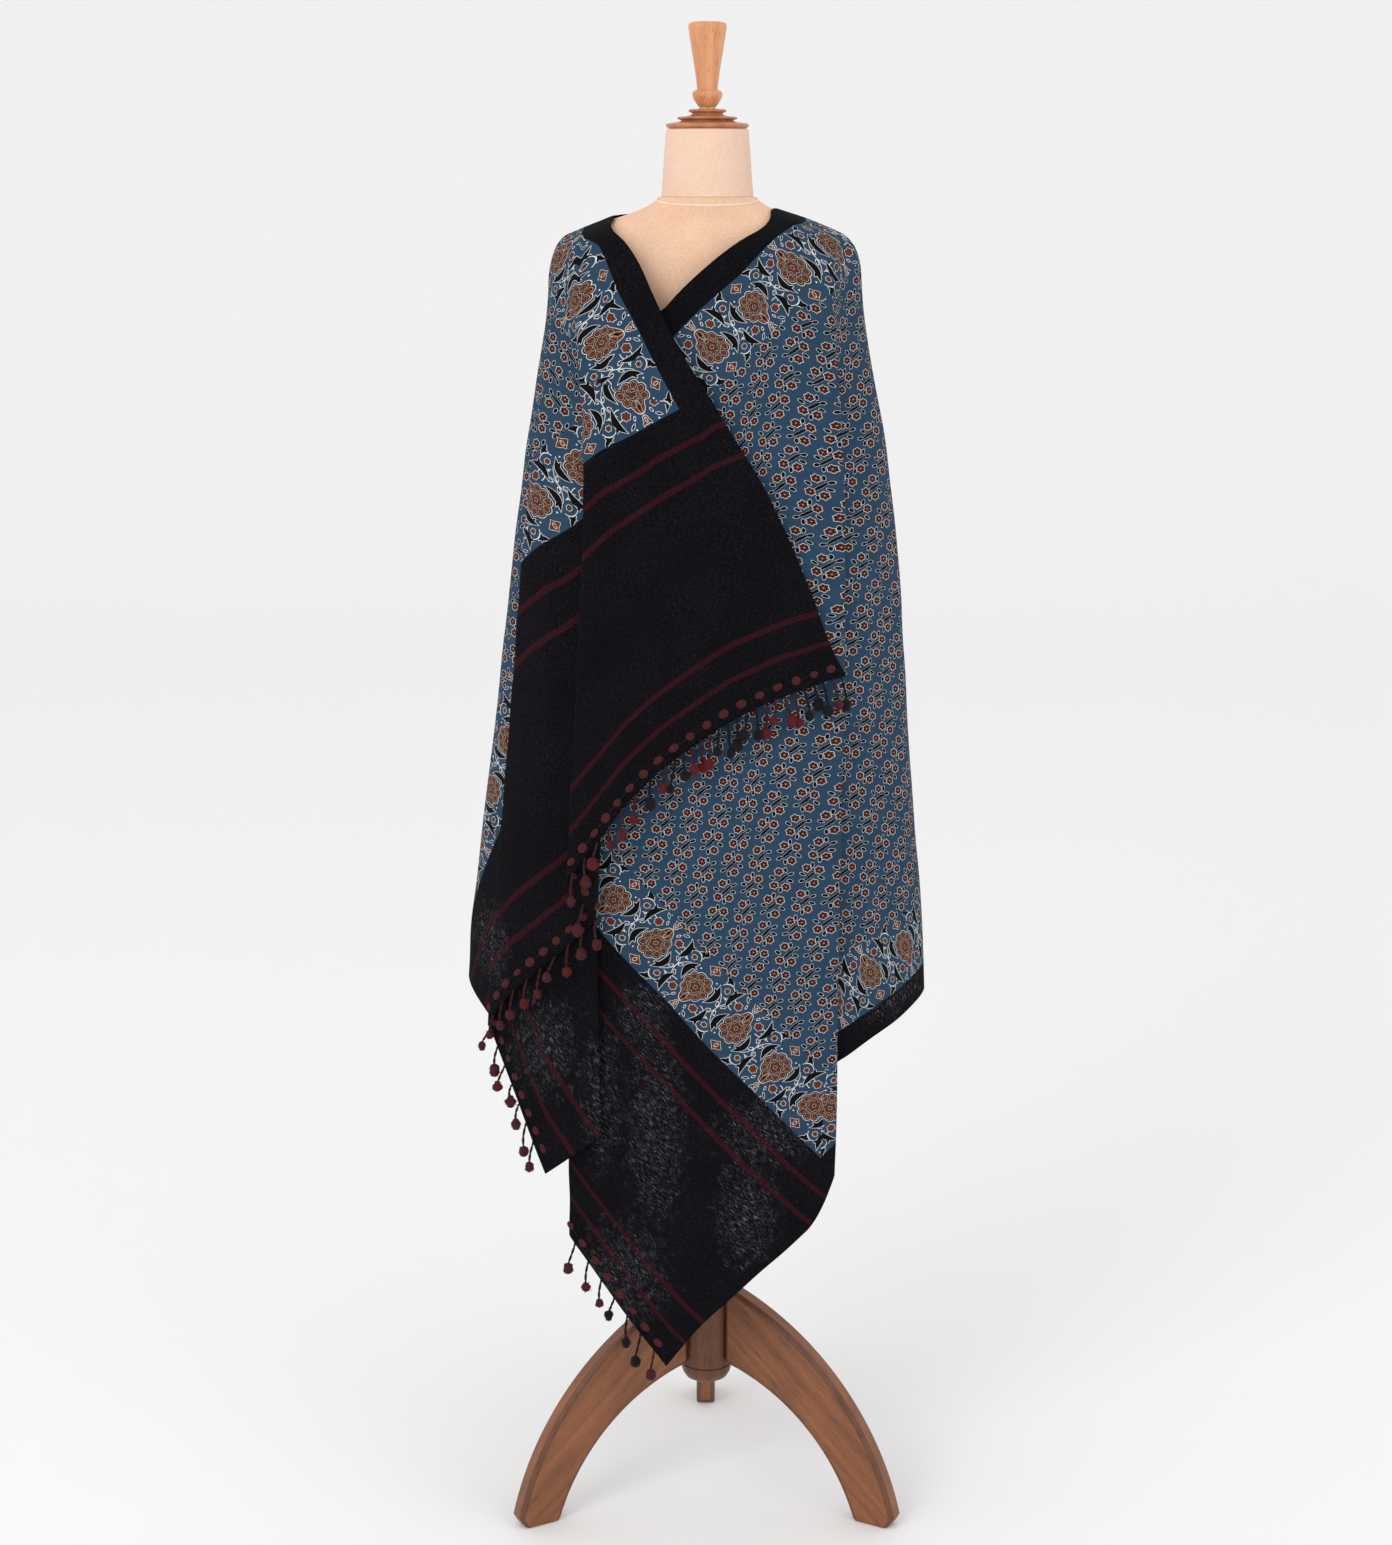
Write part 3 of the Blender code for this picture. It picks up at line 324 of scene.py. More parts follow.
# %% [markdown]
# ## Where each spot of the flat cloth ends up
#
# The print, the stripes and the seams lie on the flat cloth, so every point of the surface
# must know its own spot there: u metres from the first end and v metres from the neck edge.
# The edges and seams are measured along the hung cloth. Their real lengths give each plumb
# line its u and v at its top, at the seam and at its lower end, and between those the cloth
# is just shared out along the line.

# %% Places on the sheet
LINE_SAMPLES = 120
DEPTHS = np.linspace(0.0, len(net) - 1.0, LINE_SAMPLES)
HEIGHTS = spline_values([values[0] for values in SHEET_RINGS.values()], DEPTHS)
LAST_LINE = net.shape[1] - 1.0
OVER_END, UNDER_END = (float(names.index(name)) for name in ("over foot", "under foot"))
MIDDLE = (OVER_END + UNDER_END) / 2
NORMAL_STEP = 0.02


def sheet_point(line, depth):
    """Three rings times three plumb lines of the net, each weighted by its spline."""
    line, depth = np.broadcast_arrays(np.asarray(line, float), np.asarray(depth, float))
    total = np.zeros(line.shape + (3,))
    for ring, ring_weight in zip(*spline_weights(depth, net.shape[0])):
        for column, line_weight in zip(*spline_weights(line, net.shape[1])):
            total += net[ring, column] * (ring_weight * line_weight)[..., None]
    return total


def sheet_normal(line, depth):
    """The cross product of a short step along the cloth and a short step down it."""
    def at(along, down):
        return sheet_point(np.clip(line + along, 0.0, LAST_LINE),
                           np.clip(depth + down, 0.0, len(net) - 1.0))

    step_along = at(NORMAL_STEP, 0) - at(-NORMAL_STEP, 0)
    step_down = at(0, NORMAL_STEP) - at(0, -NORMAL_STEP)
    cross = np.cross(step_along, step_down)
    return cross / np.linalg.norm(cross, axis=-1, keepdims=True)


def depth_at(height):
    """The depth down the rings at a height, by looking it up between samples."""
    return np.interp(-np.asarray(height), -HEIGHTS, DEPTHS)


def edge_height(column, line):
    """A height column of the table at any place, smooth between the cloth's four corners."""
    stops = [0, int(OVER_END), int(UNDER_END), int(LAST_LINE)]
    line = np.asarray(line, float)
    result = np.zeros(line.shape)
    for start, stop in zip(stops, stops[1:]):
        inside = (line >= start) & (line <= stop)
        smooth = spline_values(columns[column][start:stop + 1], line - start)
        result = np.where(inside, smooth, result)
    return result


def running_length(points):
    """The sum of the steps between neighbouring points, from the first one on."""
    steps = np.linalg.norm(np.diff(points, axis=0), axis=1)
    return np.concatenate([[0.0], np.cumsum(steps)])


def run_along(height):
    """Running length along the cloth at a height for each plumb line."""
    return running_length(sheet_point(dense, depth_at(height)))


def shared_out(run, places, values):
    """A flat measure, shared out along an edge between corners where it is known."""
    return np.interp(run, np.interp(places, dense, run), values)


dense = np.linspace(0.0, LAST_LINE, int(LAST_LINE) * 8 + 1)
tops = edge_height("top", dense)
ends = np.minimum(edge_height("end", dense), tops)
seams = edge_height("seam", dense)
HALFWAY = dense[int(len(dense) / 2)]
is_over = dense < HALFWAY
meets = (seams < tops) & (seams > ends)
SEAM_OVER, SEAM_UNDER = (tuple(dense[np.flatnonzero(meets & side)[[0, -1]]])
                         for side in (is_over, ~is_over))
KNOWN_U = [0.0, END_PANEL, FAR_SEAM, CLOTH_LENGTH]
neck_u = shared_out(run_along(tops), [0.0, SEAM_OVER[0], SEAM_UNDER[1], LAST_LINE], KNOWN_U)
end_run = run_along(ends)
seam_run = run_along(np.clip(seams, ends, tops))
before, beyond = dense <= OVER_END, dense >= UNDER_END
hem_u = shared_out(end_run, [OVER_END, SEAM_OVER[1], SEAM_UNDER[0], UNDER_END], KNOWN_U)
hem_u = np.where(before, 0.0, np.where(beyond, CLOTH_LENGTH, hem_u))
over_v = shared_out(end_run, [0.0, OVER_END], [0.0, CLOTH_WIDTH])
under_v = shared_out(end_run, [UNDER_END, LAST_LINE], [CLOTH_WIDTH, 0.0])
end_v = np.where(before, over_v, np.where(beyond, under_v, CLOTH_WIDTH))
seam_v = np.where(is_over, shared_out(seam_run, SEAM_OVER, [0.0, CLOTH_WIDTH]),
                  shared_out(seam_run, SEAM_UNDER, [CLOTH_WIDTH, 0.0]))
end_corners = np.interp([OVER_END, UNDER_END], dense, end_run)
print("neck edge", round(float(run_along(tops)[-1]), 3), "m; end edges",
      round(float(end_corners[0]), 3), "and", round(float(end_run[-1] - end_corners[1]), 3), "m")


# %% One plumb line of the hung cloth
def at_line(values, line):
    """A value that is known on the dense lines, at any line."""
    return float(np.interp(line, dense, values))


def plumb_line(line):
    """Lengths down one line, and the flat cloth's u and v at its top, seam and lower end."""
    top, seam = float(edge_height("top", line)), float(edge_height("seam", line))
    end = min(float(edge_height("end", line)), top)
    lengths = running_length(sheet_point(np.full(LINE_SAMPLES, line), DEPTHS))
    top_at, seam_at, end_at = np.interp(depth_at([top, seam, end]), DEPTHS, lengths)
    met, printed = end < seam < top, seam < top
    knots = [(top_at, at_line(neck_u, line), 0.0)]
    if met:
        knots.append((seam_at, END_PANEL if line < HALFWAY else FAR_SEAM, at_line(seam_v, line)))
    knots.append((end_at, at_line(hem_u, line), at_line(end_v, line)))
    place, flat_u, flat_v = (np.array(values) for values in zip(*knots))
    return {"line": line, "lengths": lengths, "place": place, "u": flat_u, "v": flat_v,
            "top": top_at, "end": end_at, "printed": printed,
            "seam": seam_at if met else (end_at if printed else top_at)}


def length_to(plumb, value):
    """Length down a plumb line at which it crosses a line of the flat cloth's width."""
    if plumb["v"][-1] <= value:
        return plumb["end"]
    return float(np.interp(value, plumb["v"], plumb["place"]))


def depth_down(plumb, length):
    """The depth down the rings at a length down a plumb line."""
    return np.interp(length, plumb["lengths"], DEPTHS)


# %% Keep the printed band's steps true
# The band's middle on the flat cloth, the places on the net where the back begins and ends, and
# the least v of a second knot that the sum below can be trusted with
BAND_LEVEL = 0.08
BACK_LINES = (19.0, 37.0)
LEAST_SEAM = 0.11


def true_steps_in_front():
    """Running lengths along the band's level, counted from the seams at both sides, must be the
    cloth's own u there; the back takes what is left. u is shared out down a plumb line, from the
    neck edge to its second knot, so the neck edge's u follows: (u of the level less the knot's
    share) divided by the rest."""
    plumbs = [plumb_line(float(line)) for line in dense]
    depth = np.array([depth_down(plumb, length_to(plumb, BAND_LEVEL)) for plumb in plumbs])
    run = running_length(sheet_point(dense, depth))
    knot_u, knot_v = (np.array([plumb[key][1] for plumb in plumbs]) for key in ("u", "v"))
    in_print = (dense >= SEAM_OVER[0]) & (dense <= SEAM_UNDER[1]) & (knot_v > BAND_LEVEL)
    start, stop = run[np.flatnonzero(in_print)[[0, -1]]]
    back_from, back_to = np.interp(BACK_LINES, dense, run)
    values = [END_PANEL, END_PANEL + back_from - start, FAR_SEAM - (stop - back_to), FAR_SEAM]
    print("band level of", round(float(stop - start), 3), "m; back of",
          round(float(back_to - back_from), 3), "m takes", round(float(values[2] - values[1]), 3))
    level_u = np.interp(run, [start, back_from, back_to, stop], values)
    share = BAND_LEVEL / np.maximum(knot_v, LEAST_SEAM)
    wanted = (level_u - knot_u * share) / (1.0 - share)
    known = in_print & (knot_v >= LEAST_SEAM)
    corners = ~known & ((dense <= SEAM_OVER[0]) | (dense >= SEAM_UNDER[1]))
    used = known | corners
    return np.interp(dense, dense[used], np.where(corners, neck_u, wanted)[used])


neck_u = true_steps_in_front()


def panel_edges(plumb, part):
    """Upper and lower length of a panel on one plumb line."""
    neck_seam, hem_seam = (length_to(plumb, v) for v in (BORDER, CLOTH_WIDTH - BORDER))
    stop = plumb["seam"]
    return {"neck_border": (plumb["top"], min(neck_seam, stop)),
            "print": (neck_seam, min(hem_seam, stop)),
            "hem_border": (hem_seam, stop),
            "end_panel": (stop if plumb["printed"] else plumb["top"], plumb["end"])}[part]


print("seams at plumb lines", SEAM_OVER, "and", SEAM_UNDER)

# %% [markdown]
# ## Creases, placed one by one
#
# The plumb lines give the large hang of the cloth. What is left are its soft creases: troughs
# and ridges that run down from the shoulders, die out, and are never alike. Each row of this
# table is one of them, laid on the flat cloth from (u, v) to (u, v), with its half width and
# its height in millimetres. A trough has a negative height. The back isn't seen in the photo,
# and has creases of the same kind.

# %% Crease table: u and v from, u and v to, half width, height
CREASES = [
    (1.250, 0.458, 1.329, 0.847, 13, -2.6),
    (1.046, 0.406, 1.285, 0.847, 11, 1.8),
    (1.180, 0.420, 1.430, 0.719, 12, 1.7),
    (1.050, 0.212, 1.425, 0.639, 10, 1.2),
    (0.941, 0.071, 1.079, 0.260, 12, -1.5),
    (1.027, 0.112, 1.157, 0.282, 11, 1.3),
    (0.182, 0.089, 0.009, 0.192, 12, 2.2),
    (0.187, 0.060, 0.000, 0.155, 10, -1.8),
    (0.139, 0.056, 0.007, 0.112, 10, 1.8),
    (0.312, 0.102, 0.017, 0.318, 14, 1.6),
    (0.302, 0.148, 0.004, 0.367, 10, -1.5),
    (0.335, 0.054, 0.153, 0.127, 10, 1.2),
    (1.720, 0.596, 1.966, 0.793, 11, -2.6),
    (1.690, 0.575, 1.900, 0.770, 9, 2.0),
    (1.670, 0.606, 1.953, 0.842, 13, 2.2),
    (1.686, 0.701, 1.931, 0.910, 14, -2.8),
    (1.652, 0.752, 1.822, 0.889, 13, 2.2),
    (1.613, 0.789, 1.745, 0.887, 10, -1.8),
    (1.500, 0.505, 1.639, 0.680, 12, 1.6),
    (1.478, 0.558, 1.641, 0.746, 12, -1.8),
    (1.386, 0.517, 1.624, 0.795, 12, 1.7),
    (0.542, 0.044, 0.396, 0.217, 12, -1.5),
    (0.479, 0.044, 0.374, 0.104, 10, 1.3),
    (0.528, 0.124, 0.371, 0.289, 10, 1.5),
    (0.334, 0.299, 0.059, 0.545, 12, 1.6),
    (0.655, 0.110, 0.700, 0.640, 13, -2.9),
    (0.672, 0.180, 0.760, 0.820, 12, 2.6),
    (0.690, 0.090, 0.830, 0.560, 14, -3.2),
    (0.722, 0.240, 0.890, 0.860, 11, 2.4),
    (0.745, 0.100, 0.950, 0.700, 13, 3.0),
    (0.760, 0.330, 1.010, 0.880, 14, -2.7),
    (0.790, 0.120, 1.060, 0.620, 12, 2.6),
    (0.806, 0.260, 1.120, 0.840, 12, -3.0),
    (0.818, 0.090, 1.150, 0.730, 13, 2.4),
]
FADE_RATE, FADE_END = 4.0, 0.35
# Slow waves along and down the cloth: height, length, how far bent, and the bend's length and
# start
WAVE_ALONG = (0.00045, 0.083, 0.35, 0.37, 1.0)
WAVE_DOWN = (0.00035, 0.129, 0.40, 0.21, 0.0)


def crease_height(u, v):
    """Sum of the creases: height times a bell of the distance to the crease's own line, which
    fades out towards the line's two ends."""
    total = np.zeros(u.shape)
    for u_from, v_from, u_to, v_to, half_width, height in CREASES:
        along, down = u_to - u_from, v_to - v_from
        length = np.hypot(along, down)
        share = ((u - u_from) * along + (v - v_from) * down) / length ** 2
        across = ((u - u_from) * down - (v - v_from) * along) / length
        bell = np.exp(-(across * 1000 / half_width) ** 2)
        fade = np.clip(np.minimum(share, 1.0 - share) * FADE_RATE + FADE_END, 0.0, 1.0)
        total += height / 1000 * bell * fade * fade * (3 - 2 * fade)
    return total


def slow_wave(wave, along, across):
    """Height times the sine of the way along, which is itself bent by a sine of the other way."""
    height, length, bent, bend_length, start = wave
    bend = np.sin(2 * np.pi * across / bend_length + start)
    return height * np.sin(2 * np.pi * (along / length + bent * bend))


def hung(line, depth, u, v):
    """The sheet's point, moved out along its normal by the creases, and by two slow waves, as
    handwoven cloth never hangs quite smooth; also gives the normal."""
    normal = sheet_normal(line, depth)
    out = crease_height(u, v) + (slow_wave(WAVE_ALONG, u, v) + slow_wave(WAVE_DOWN, v, u))
    return sheet_point(line, depth) + normal * out[..., None] + POLE_PLACE, normal


print(len(CREASES), "creases by hand")

# %% [markdown]
# ## From the function to a mesh
#
# A panel is a grid: columns are plumb lines, a few for each row of the table, and rows go from
# the panel's upper edge to its lower edge. Neighbouring panels share the same edge, so the
# seams close. The UV map holds the flat cloth, halved to fit between 0 and 1. A Solidify
# modifier then gives the sheet its 0.8 mm.

# %% Panels
CLOTH_THICKNESS = 0.0008
FLAT_MAP, UV_METRES = "flat_cloth", 2.0
LINES_PER_ROW = 8
LEAST_STEP = 0.05
LEAST_LENGTH = 0.0004
SAME_SPOT = 0.00002
corner_lines = [OVER_END, UNDER_END]
for first, last in (SEAM_OVER, SEAM_UNDER):
    inside = (dense >= first) & (dense <= last)
    order = np.argsort(seam_v[inside])
    for width in (BORDER, CLOTH_WIDTH - BORDER):
        corner_lines.append(float(np.interp(width, seam_v[inside][order], dense[inside][order])))
    corner_lines += [float(first), float(last)]


def panel_lines(first, last):
    """Even steps along the plumb lines, with a line at each corner of a panel."""
    even = np.arange(first, last, 1 / LINES_PER_ROW)
    corners = [line for line in corner_lines if first < line < last]
    far = np.min(np.abs(even[:, None] - np.array(corners + [last])), axis=1) > LEAST_STEP
    return np.sort(np.concatenate([even[far | (even == first)], corners, [last]]))


def mesh_from_grid(name, points, flat=None):
    """Quads between neighbouring columns and rows of a grid of points, each facing out."""
    columns, rows = points.shape[:2]
    index = np.arange(columns * rows).reshape(columns, rows)
    quads = np.stack([index[:-1, :-1], index[1:, :-1], index[1:, 1:], index[:-1, 1:]], axis=-1)
    mesh = bpy.data.meshes.new(name)
    mesh.from_pydata(points.reshape(-1, 3), [], quads.reshape(-1, 4))
    if flat is not None:
        loops = np.zeros(len(mesh.loops), dtype=np.int32)
        mesh.loops.foreach_get("vertex_index", loops)
        layer = mesh.uv_layers.new(name=FLAT_MAP)
        layer.data.foreach_set("uv", (flat.reshape(-1, 2)[loops] / UV_METRES).ravel())
    return mesh


def merged(mesh):
    """Merge points that lie on each other, such as where a panel runs out to a point."""
    work = bmesh.new()
    work.from_mesh(mesh)
    bmesh.ops.remove_doubles(work, verts=work.verts, dist=SAME_SPOT)
    loose = [vertex for vertex in work.verts if not vertex.link_faces]
    bmesh.ops.delete(work, geom=loose, context="VERTS")
    work.to_mesh(mesh)
    work.free()
    return mesh


def new_piece(mesh, material, slot, *nodes):
    """A finished piece: smooth, riding on the root body, and standing for its CAD nodes."""
    piece = new_object(mesh.name, mesh)
    if material is not None:
        mesh.materials.append(material)
    mesh.shade_smooth()
    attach(piece, "root")
    if nodes:
        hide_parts(*nodes)
    return piece


def cloth_panel(node, part, first, last, rows, material, slot):
    """One panel: its grid of depths, u and v, hung, with the flat cloth's u and v as its map."""
    strips = []
    for line in panel_lines(first, last):
        plumb = plumb_line(float(line))
        upper, lower = panel_edges(plumb, part)
        strips.append((plumb, upper, max(lower, upper)))
    kept = [i for i, (_, upper, lower) in enumerate(strips) if lower - upper > LEAST_LENGTH]
    grid = []
    for plumb, upper, lower in strips[max(kept[0] - 1, 0):kept[-1] + 2]:
        length = np.linspace(upper, lower, rows + 1)
        u, v = (np.interp(length, plumb["place"], plumb[key]) for key in ("u", "v"))
        grid.append((np.full(rows + 1, plumb["line"]), depth_down(plumb, length), u, v))
    line, depth, u, v = np.moveaxis(np.array(grid), 1, 0)
    points, _ = hung(line, depth, u, v)
    flat = np.stack([u, v], axis=-1)
    piece = new_piece(merged(mesh_from_grid("cloth_" + node, points, flat)), material, slot, node)
    shell = piece.modifiers.new("cloth", "SOLIDIFY")
    shell.thickness, shell.offset = CLOTH_THICKNESS, 0.0


# %% [markdown]
# ## The block print
#
# The blue cotton is dyed and printed with carved blocks: a white outline, a black block and a
# rust red one. The field has small sprigs in staggered rows, three round blossoms on a slanting
# stem. Along every edge runs a band of lobed medallions, with buds, small flowers and curved
# leaves between them. This is traditional ornament, drawn here from ellipses and pointed leaves.
#
# One formula draws every motif: the distance to a bent ellipse or leaf, in millimetres, which
# is negative inside. The least of many distances is their union. Where it is negative the
# cloth is white, and a rim's width further in begins the colour, edged with a black line.

# %% Motifs as distances
RIM, INNER_LINE = 0.56, 0.52
BAND_DEPTH, BAND_MIDDLE = 78.0, 40.0
BAND_PERIOD, BORDER_PERIOD = 68.5, 64.0
LOBES, LOBE_OUT, LOBE_RADIUS = 10, 12.6, 5.4
PETALS, PETAL_OUT = 6, 4.5
DROP_TALL, DROP_TAPER = 0.86, 0.007
NET_RINGS = (3.1, 2.6, 8.6)
NET_DARK, NET_INSET = 0.78, 0.9
LINE, LATTICE_LINE = 0.42, 0.2
# Colour, form, middle across and down the band, half length, half width, turn, bend
BAND_MOTIFS = [
    ("rust", "oval", 0.0, 16.0, 7.0, 10.5, 0, 0.0),
    ("rust", "oval", 0.0, 33.0, 3.6, 5.4, 0, 0.0),
    ("rust", "leaf", 2.8, 35.6, 4.6, 1.9, 58, 0.0),
    ("rust", "leaf", 0.0, -31.0, 8.6, 4.6, 0, 0.0),
    ("rust", "leaf", 0.0, -31.0, 7.2, 3.9, 90, 0.0),
    ("rust", "flower", 17.5, 20.5, 5.2, 5.2, 0, 0.0),
    ("rust", "flower", 28.0, -24.0, 3.6, 3.6, 0, 0.0),
    ("black", "leaf", 23.5, -9.0, 15.5, 4.3, 86, -0.026),
    ("black", "leaf", 20.2, -14.5, 6.0, 2.3, 20, 0.0),
    ("black", "leaf", 30.6, 23.0, 16.0, 4.2, 98, -0.024),
    ("black", "leaf", 32.6, 30.0, 5.6, 2.3, 40, 0.0),
    ("black", "leaf", 21.5, -36.0, 8.0, 3.0, 25, 0.030),
    ("black", "leaf", 23.0, -34.5, 5.6, 2.4, -50, 0.0),
    ("black", "leaf", 15.5, 34.0, 4.8, 1.7, 38, 0.0),
    ("black", "oval", 31.0, -4.8, 3.6, 1.7, 60, 0.0),
    ("black", "oval", 29.5, 7.0, 3.2, 1.6, -64, 0.0),
    ("black", "oval", 10.2, 26.6, 2.9, 1.5, 72, 0.0),
]
BAND_DOTS, DOT_RADIUS = [(12.6, -21.5), (13.5, 38.0), (33.5, -15.5)], 0.95
# Fine lines: centre across and down, half length, half width, turn
TAIL, TAIL_RING = (0.0, 18.5, 1.1, 3.4), 1.3
RINGLETS = [(0.0, 33.0, 1.3, 2.6), (0.0, -31.0, 1.8, 2.8)]
CROSS_BEND, CROSS_HALF = 0.030, 17.0
CURL, CURL_RADIUS, CURL_CUT = (28.0, -24.0), 8.8, 46.0
STALK, STALK_CUT = (24.0, 17.0, 7.0, 5.0, 30), 21.0
SPRIG_ACROSS, SPRIG_DOWN = 56.8, 35.6
BLOSSOMS, BLOSSOM_RADIUS = [(2.0, -9.8), (10.5, 0.0), (-4.4, 8.6)], 4.9
SEED_OUT, SEED_RADIUS, EYE_RADIUS = 2.5, 0.92, 0.6
STEM, STEM_SHARP = (-1.5, -0.5, 10.5, 1.75, 0), 4.0
LEAF_SHARP = 2.0
LEAVES = [
    (9.2, -8.8, 3.6, 2.0, -45), (-6.2, -7.6, 3.6, 2.0, 60), (-12.8, -2.0, 3.4, 2.0, 20),
    (-11.0, 5.2, 3.4, 2.0, -50), (5.4, 8.4, 3.6, 2.0, 70),
]


def motif(x, y, form, s, t, long, wide, turn=0, bend=0.0):
    """Distance to a motif: its centre taken off, turned, and bent by the square of the way along
    it. An oval is the root of the squares of both half widths' shares, less 1; a leaf, pointed
    at both ends, is the share across plus the square of the share along, less 1. Both times the
    half width. A flower is an oval with six waves round it."""
    right, up = x - s, y - t
    cosine, sine = math.cos(math.radians(turn)), math.sin(math.radians(turn))
    along = right * cosine + up * sine if turn else right
    across = up * cosine - right * sine if turn else up
    if bend:
        across = across + along * along * bend
    if form == "leaf":
        return (abs(across) * (1 / wide) + (along * (1 / long)) ** 2.0 - 1.0) * wide
    share = away_from(along * (1 / long), across * (1 / wide))
    if form == "flower":
        share = share - (across.angle(along) * 6.0).cosine() * 0.10
    return (share - 1.0) * min(long, wide)


def away_from(x, y, s=0.0, t=0.0):
    """Distance to a point: the root of the sum of both squares."""
    x, y = x - s if s else x, y - t if t else y
    return (x ** 2.0 + y ** 2.0) ** 0.5


def union(shapes):
    """The least of several distances."""
    shapes = iter(shapes)
    nearest = next(shapes)
    for shape in shapes:
        nearest = nearest.least(shape)
    return nearest


def aside_of(turn, count):
    """Turn away from the nearest of so many even spokes."""
    sector = math.tau / count
    return turn - (turn * (1 / sector)).nearest() * sector


def nearest_on_ring(x, y, count, radius):
    """Distance to the nearest of so many even points on a circle, folding the turn."""
    away = away_from(x, y)
    aside = aside_of(y.angle(x) + math.pi * 2, count)
    return away_from(aside.cosine() * away - radius, aside.sine() * away), away


# %% The field's sprigs
def field_print(across, down):
    """Distances to a sprig's shapes, repeated. The blocks are stamped in two interleaved grids,
    so each spot takes the nearer middle of the two. Those of the second grid are half turned.
    Round each blossom's middle lie six seeds."""
    x, y, away = [], [], []
    for shift in (0.0, 0.5):
        column = (across * (1 / SPRIG_ACROSS) - shift).nearest()
        line = (down * (1 / SPRIG_DOWN) - shift).nearest()
        x.append((column + shift) * SPRIG_ACROSS - across)
        y.append(down - (line + shift) * SPRIG_DOWN)
        away.append(x[-1] ** 2.0 + y[-1] ** 2.0)
    second = away[1] < away[0]
    x = x[0] - (x[1] + x[0]) * second
    y = y[0] - (y[1] + y[0]) * second
    rust = union(motif(x, y, "flower", s, t, BLOSSOM_RADIUS, BLOSSOM_RADIUS) for s, t in BLOSSOMS)
    seeds, middles = [], []
    for s, t in BLOSSOMS:
        middles.append(away_from(x - s, y - t))
        turn = aside_of((y - t).angle(x - s), PETALS)
        seeds.append(away_from(middles[-1] - SEED_OUT, turn * SEED_OUT) - SEED_RADIUS)
    black = union([motif(x, y, "oval", *STEM) * STEM_SHARP]
                  + [motif(x, y, "oval", *leaf) * LEAF_SHARP for leaf in LEAVES])
    return rust, black, union(seeds), union(middles) - EYE_RADIUS


# %% The band along the edges
def band_print(along, depth):
    """Distances to the band's shapes. A cell is the same on both sides of its medallion, and
    every second cell is upside down, so each shape of the table is drawn once."""
    cell = (along * (1 / BAND_PERIOD)).nearest()
    x = abs(along - cell * BAND_PERIOD)
    y = (depth - BAND_MIDDLE) * (cell * math.pi).cosine()
    drop_x, drop_y = x * (y * DROP_TAPER + 1.0), y * DROP_TALL
    from_lobe, away = nearest_on_ring(drop_x, drop_y, LOBES, LOBE_OUT)
    from_petal, _ = nearest_on_ring(drop_x, drop_y, PETALS, PETAL_OUT)
    medallion = (from_lobe - LOBE_RADIUS).least(away - LOBE_OUT)
    shapes = {colour: [motif(x, y, *row[1:]) for row in BAND_MOTIFS if row[0] == colour]
              for colour in ("rust", "black")}
    rust, black = union([medallion] + shapes["rust"]), union(shapes["black"])
    net = union(abs(away_from_ring - ring) for away_from_ring, ring
                in zip((from_lobe, from_petal, away), NET_RINGS))
    inside = rust + NET_INSET
    tail = motif(x, y, "oval", *TAIL)
    lattice = net.most(inside).least(abs(tail - TAIL_RING)) - LATTICE_LINE
    for ringlet in RINGLETS:
        lattice = lattice.least(abs(motif(x, y, "oval", *ringlet)) - LINE)
    seeds = (net - NET_DARK).least(tail).most(inside)
    cross = abs(x - BAND_PERIOD / 2 + y * y * CROSS_BEND).most(abs(y) - CROSS_HALF)
    curl = abs(away_from(x, y, *CURL) - CURL_RADIUS).most(y - x + CURL_CUT)
    stalk = abs(motif(x, y, "oval", *STALK)).most(x * -1.0 + STALK_CUT)
    vine = (union([cross, curl, stalk]) - LINE).most(medallion * -1.0)
    dots = [away_from(x, y, s, t) - DOT_RADIUS for s, t in BAND_DOTS]
    return rust, black, seeds, lattice, union([vine] + dots)


print(len(BAND_MOTIFS), "shapes in a half cell of the band,", len(BLOSSOMS), "blossoms in a sprig")

# %% [markdown]
# ## Printed cotton as a material
#
# Cotton is matt: roughness about 0.9 and hardly any shine. Hand printing leaves the dye
# uneven, so the blue is clouded and each colour is worn thin in places. The threads are
# 0.3 mm apart, too fine for the render, so the weave is drawn 1.2 mm wide.
#
# In every shade below, the factor on a noise sets its contrast, and the number added or taken
# off sets its level.

# %% Printed cotton
BLUE, DEEP_BLUE = "#2e4861", "#22374b"
WHITE_LINE, PALE_LINE, BLACK_DYE = "#dcdddb", "#dccdba", "#030304"
RUST, RUST_DARK = "#7f3823", "#3d160d"
WEAVE_MM = 1.2


def flat_millimetres(tree):
    """The UV map's u and v in millimetres of the flat cloth."""
    parts = add(tree, "SeparateXYZ", add(tree, "UVMap", uv_map=FLAT_MAP))
    return parts * (1000.0 * UV_METRES), Field(parts.node, "Y") * (1000.0 * UV_METRES)


def clouds(u, v, size, detail=3.0):
    """Soft noise with patches of about this size, in millimetres."""
    place = add(u.tree, "CombineXYZ", u, v)
    return add(u.tree, "TexNoise", Vector=place, Scale=1.0 / size, Detail=detail)


def from_edges(u, v, margin_u=0.0, margin_v=0.0):
    """Distance to the nearer end of the flat cloth, and to the nearer long edge."""
    long, wide = 1000 * CLOTH_LENGTH - margin_u, 1000 * CLOTH_WIDTH - margin_v
    return (u - margin_u).least(u * -1.0 + long), (v - margin_v).least(v * -1.0 + wide)


